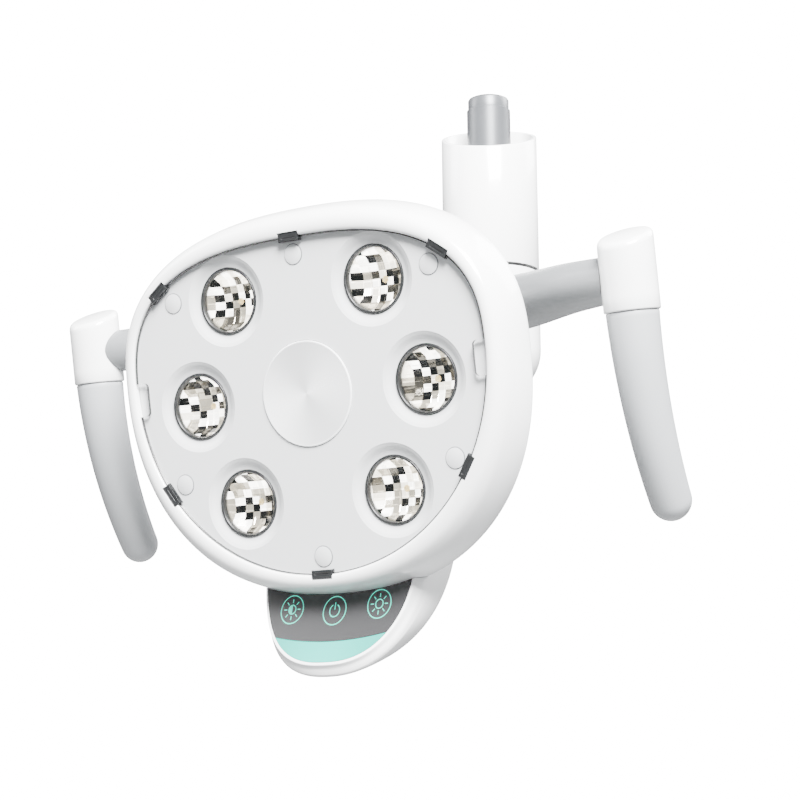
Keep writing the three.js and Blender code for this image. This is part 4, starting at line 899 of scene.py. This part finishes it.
def swept(name, points, radius, sides=56, steps=72):
    """A round bar that follows a smooth curve, with flat closed ends."""
    def place(u, v):
        share = min(max((v - 0.02) / 0.96, 0), 1)
        here = curve_through(points, share)
        ahead = curve_through(points, min(share + 0.01, 1)) - curve_through(points, max(share - 0.01, 0))
        level = Vector((0, 0, 1)).cross(ahead).normalized()
        lift = ahead.cross(level).normalized()
        reach = 0 if v < 0.005 or v > 0.995 else radius(share)
        angle = u * math.tau
        spot = here + (level * math.cos(angle) + lift * math.sin(angle)) * reach
        return on_face(*spot)
    return skin(name, sides, steps, place)


bar_cover = moulding("satin_bar_cover", (116, 118, 120), (110, 112, 114), 0.4, coat=0.08)
for side, sign in (("right", 1), ("left", -1)):
    route = [
        (sign * CHEEK_OUT, HUB_BACK, HUB_UP), (sign * 62, HUB_BACK - 4, HUB_UP),
        (sign * 102, 95, HUB_UP + 0.5), (sign * 145, 67, BAR_LEVEL - 0.5),
        (sign * HANDLE, HANDLE_BACK, BAR_LEVEL),
    ]
    bar = swept("grey_handle_bar_" + side, route, lambda share: BAR_THICK - BAR_TAPER * share**1.6)
    room = [(0, 15), (16.3, 15), (16.3, 95), (0, 95)]
    machined(bar, turned("cap_room", room, down_handle(sign)))
    fitted(bar, "head", "bar_cover", bar_cover, "handle_bar_" + side, smooth=45)

# ---- Handle caps and spigots ----
# A white moulded cap closes each bar's end, cut off at a slope with a rolled edge. A steel spigot
# with a rubber ring stands out of its foot and carries the grip.
CAP_LOW, CAP_HIGH, CAP_SLOPE = 24.9, 68, math.tan(math.radians(19.5))
GRIP_TOP = CAP_LOW - 0.3
cap_line = [
    (0, CAP_LOW, 0), (15.2, CAP_LOW, 0), (15.7, CAP_LOW + 0.25, 0), (16, CAP_LOW + 0.8, 0), (16, 34, 0.2),
    (16, 48, 0.65), (16, CAP_HIGH - 4, 1), (15.8, CAP_HIGH - 2.4, 1), (15.2, CAP_HIGH - 1.2, 1),
    (14.2, CAP_HIGH - 0.4, 1), (12.8, CAP_HIGH - 0.05, 1), (0, CAP_HIGH, 1),
]
for side, sign in (("right", 1), ("left", -1)):
    def cap_place(u, v):
        radius, level, tilt = cap_line[int(round(v * (len(cap_line) - 1)))]
        x, y = radius * math.cos(u * math.tau), radius * math.sin(u * math.tau)
        return on_face(sign * HANDLE + x, HANDLE_BACK + y, level + y * CAP_SLOPE * tilt)
    cap = skin("white_handle_cap_" + side, 96, len(cap_line) - 1, cap_place)
    down = down_handle(sign)
    machined(cap, turned("well", [(0, CAP_LOW - 2), (8.8, CAP_LOW - 2), (8.8, 43.2), (0, 43.2)], down))
    fitted(cap, "head", "white_shell", gloss_white, "handle_cap_" + side, smooth=35)
    pin = [(0, -11), (7, -11), (8.2, -10), (8.5, -9), (8.5, 4), (7.6, 4.3), (7.6, 6.7), (8.5, 7)]
    pin += [(8.5, 21), (8.1, 21.4), (8.5, 21.8), (8.5, 42.8), (0, 42.8)]
    spigot = turned("steel_grip_spigot_" + side, pin, down, sides=64)
    fitted(spigot, "head", "steel", steel.material, "grip_spigot_" + side, smooth=30)
    ring_line = [(7.6, 4.6), (8.4, 4.7), (8.7, 5.5), (8.4, 6.3), (7.6, 6.4), (7.6, 4.6)]
    ring = turned("black_spigot_ring_" + side, ring_line, down, sides=64)
    fitted(ring, "head", "black_ring", black.material, smooth=50)

# ---- Grips ----
# Pull-off hand grips, moulded in grey silicone over a core, that bend back along an arc to a round
# tip. Each has a deep round socket for the spigot.
silicone = Finish("grey_silicone", Roughness=0.38, Coat_Weight=0.12, Coat_Roughness=0.2)
cloud = silicone.noise(25, 4)
silicone.feed("Base Color", silicone.blend(cloud, linear(168, 170, 172), linear(156, 159, 162)))
silicone.feed("Roughness", silicone.noise(260, 4) * 0.16 + 0.3)
silicone.bump(silicone.noise(1500, 3) * 0.5 + silicone.noise(90, 2) * 0.5, 0.1, 0.0003)
GRIP_BEND, GRIP_RADIUS, TIP_RADIUS = math.radians(26), 15, 12
GRIP_ARC = (122 - TIP_RADIUS) / GRIP_BEND
heel_line = [(0, 0), (14.2, 0), (14.75, 0.15), (GRIP_RADIUS, 0.6)]
for side, sign in (("right", 1), ("left", -1)):
    def grip_place(u, v):
        if v < 0.06:
            share = 0
            radius, ahead = heel_line[min(3, int(v / 0.06 * 3 + 0.5))]
        elif v < 0.8:
            share, ahead = (v - 0.06) / 0.74, 0.6 if v < 0.07 else 0
            radius = GRIP_RADIUS - 3 * share
        else:
            rest = min((v - 0.8) / 0.2, 1) * math.pi / 2
            share, ahead, radius = 1, TIP_RADIUS * math.sin(rest), TIP_RADIUS * math.cos(rest)
        angle = share * GRIP_BEND
        along = Vector((0, math.sin(angle), -math.cos(angle)))
        lift = Vector((0, math.cos(angle), math.sin(angle)))
        back = HANDLE_BACK + GRIP_ARC * (1 - math.cos(angle))
        middle = Vector((sign * HANDLE, back, GRIP_TOP - GRIP_ARC * math.sin(angle)))
        around = u * math.tau
        spot = middle + along * ahead + Vector((1, 0, 0)) * radius * math.cos(around)
        return on_face(*(spot + lift * radius * math.sin(around)))
    grip = skin("grey_grip_" + side, 64, 50, grip_place)
    socket = [(0, -15), (8.9, -15), (8.9, 30), (0, 30)]
    machined(grip, turned("socket", socket, down_handle(sign)))
    fitted(grip, "grip_" + side, "grip_silicone", silicone.material, "grip_" + side, smooth=40)

# ---- Stud and sleeve ----
# A turned aluminium stud, with a smaller tip, stands in the open mouth of a white sleeve whose rim
# is cut at a slope. A floor plate closes the sleeve round the stud.
UPRIGHT = Matrix.Scale(0.001, 4) @ Matrix.Rotation(math.pi / 2, 4, "X")
satin_stud = Finish("satin_aluminium", Metallic=0.35, Roughness=0.36)
lathe = (satin_stud.axes()[2] * 9000 + satin_stud.noise(40, 2) * 3).sum("SINE")
tone = satin_stud.noise(50, 4)
satin_stud.feed("Base Color", satin_stud.blend(tone, linear(92, 94, 97), linear(86, 88, 91)))
satin_stud.feed("Roughness", satin_stud.noise(240, 3) * 0.12 + 0.3)
satin_stud.bump(lathe * 0.5 + satin_stud.noise(900, 2) * 0.3, 0.05, 0.0002)
stud_line = [
    (5, -96.2), (25.5, -96.2), (26, -95.7), (26, -90.7), (25.5, -90.2), (14.9, -90.2), (14.9, -9),
    (14.4, -8.5), (14, -8.4), (14, -1.8), (13.4, -0.7), (12.2, -0.1), (11.4, 0), (5.6, 0), (5, -0.6),
    (5, -96.2),
]
stud = turned("satin_mounting_stud", stud_line, UPRIGHT, sides=96)
fitted(stud, "column", "stud_metal", satin_stud.material, "mounting_stud", smooth=35)

MOUTH_TURN, MOUTH_RISE = math.radians(27.5), math.tan(math.radians(25))
SLEEVE_TOP, SLEEVE_FOOT = -28, -122.5


def sleeve_place(u, v):
    ring = int(round(v * 9))
    radius, top, add = [
        (30, 0, 0), (32.3, 0, 0), (32.5, 0, 0.3), (32.5, 1, -0.7), (32.2, 1, -0.15), (31.6, 1, 0),
        (30.8, 1, 0), (30.2, 1, -0.2), (30, 1, -0.7), (30, 0, 0),
    ][ring]
    angle = u * math.tau
    x, y = radius * math.cos(angle), radius * math.sin(angle)
    low_side = -y * math.cos(MOUTH_TURN) + x * math.sin(MOUTH_TURN)
    level = (SLEEVE_TOP - MOUTH_RISE * low_side) if top else SLEEVE_FOOT
    return Vector((x, y, level + add)) * 0.001


sleeve = skin("white_column_sleeve", 128, 9, sleeve_place)
fitted(sleeve, "column", "white_shell", gloss_white, "column_sleeve", smooth=40)
plate_line = [(15.2, -53), (29.7, -53), (29.7, -50), (15.2, -50), (15.2, -53)]
plate = turned("white_sleeve_floor", plate_line, UPRIGHT, sides=96)
# The floor plate takes the darker copy of the white moulding, as painted shade down in the sleeve's mouth.
fitted(rounded(plate, 0.3, 2), "column", "white_shell", shaded_white_moulding, "sleeve_floor_plate")


def seal_line(bore, rim, foot):
    """A flat ring, 1.4 mm thick, with a rolled rim, as a turned outline that closes on itself."""
    ring = [(bore, 0), (rim - 0.3, 0), (rim, 0.3), (rim, 1.1), (rim - 0.3, 1.4), (bore, 1.4), (bore, 0)]
    return [(radius, foot + rise) for radius, rise in ring]


seal = turned("black_swivel_seal", seal_line(16, 32.1, -124.2), UPRIGHT, sides=128)
fitted(seal, "column", "black_ring", black.material, "swivel_seal", smooth=50)

# ---- Elbow ----
# A hollow white casting: an upright post, a ball end and a level arm in one piece, bored for the
# swivel shaft above and the roll shaft in front.
paint = moulding("sprayed_white_casting", (252, 252, 252), (245, 246, 247), 0.22, coat=0.3, peel=0.12)
DROP = -177
ELBOW = Matrix.Scale(0.001, 4) @ Matrix.Translation((0, 0, DROP))
POST, HOLLOW = 32.5, 21
quarters = [step * math.pi / 32 for step in range(17)]
post_line = [(POST * math.sin(a), DROP - POST * math.cos(a)) for a in quarters]
post_line += [(POST, -125.1), (31.9, -124.5), (0, -124.5)]
elbow = turned("white_elbow_casting", post_line, UPRIGHT, sides=112)
arm_line = [(0, 0), (27, 0), (27, -61.3), (26.3, -62), (0, -62)]
machined(elbow, turned("arm", arm_line, ELBOW, sides=112), how="UNION")
machined(elbow, round_bar("post_bore", 12.3, -170, -120, (0, 0), UPRIGHT, 64))
machined(elbow, round_bar("arm_bore", 14.3, -70, -10, (0, 0), ELBOW, 64))
hollow_line = [(HOLLOW * math.sin(2 * a), HOLLOW * math.cos(2 * a)) for a in quarters]
machined(elbow, turned("hollow", hollow_line, ELBOW))
rounded(elbow, 1.6, 4, 38)
fitted(elbow, "elbow", "white_casting", paint, "elbow_casting", smooth=40)
seal = turned("black_roll_seal", seal_line(14, 26.6, -63.7), ELBOW, sides=112)
fitted(seal, "elbow", "black_ring", black.material, "roll_seal", smooth=50)

# ---- Yoke and tilt bracket ----
# The yoke rolls on the elbow and ends in a round knuckle. The bracket's two cheeks hold the knuckle
# between bronze washers on one pin, and its flange sits on the rear shell.
for node, body in (("tilt_yoke", "yoke"), ("tilt_bracket", "head")):
    alone()
    casting = frame["nodes"][node].copy()
    casting.data = casting.data.copy()
    casting.name = "white_" + node
    for key in list(casting.keys()):
        del casting[key]
    bpy.context.scene.collection.objects.link(casting)
    casting.parent = None
    bpy.context.view_layer.objects.active = casting
    casting.select_set(True)
    bpy.ops.object.mode_set(mode="EDIT")
    bpy.ops.mesh.select_all(action="SELECT")
    bpy.ops.mesh.remove_doubles(threshold=0.00002)
    bpy.ops.mesh.dissolve_limited(angle_limit=math.radians(1))
    bpy.ops.object.mode_set(mode="OBJECT")
    rounded(casting, 0.9, sharp=32)
    fitted(casting, body, "white_casting", paint, node, smooth=34)
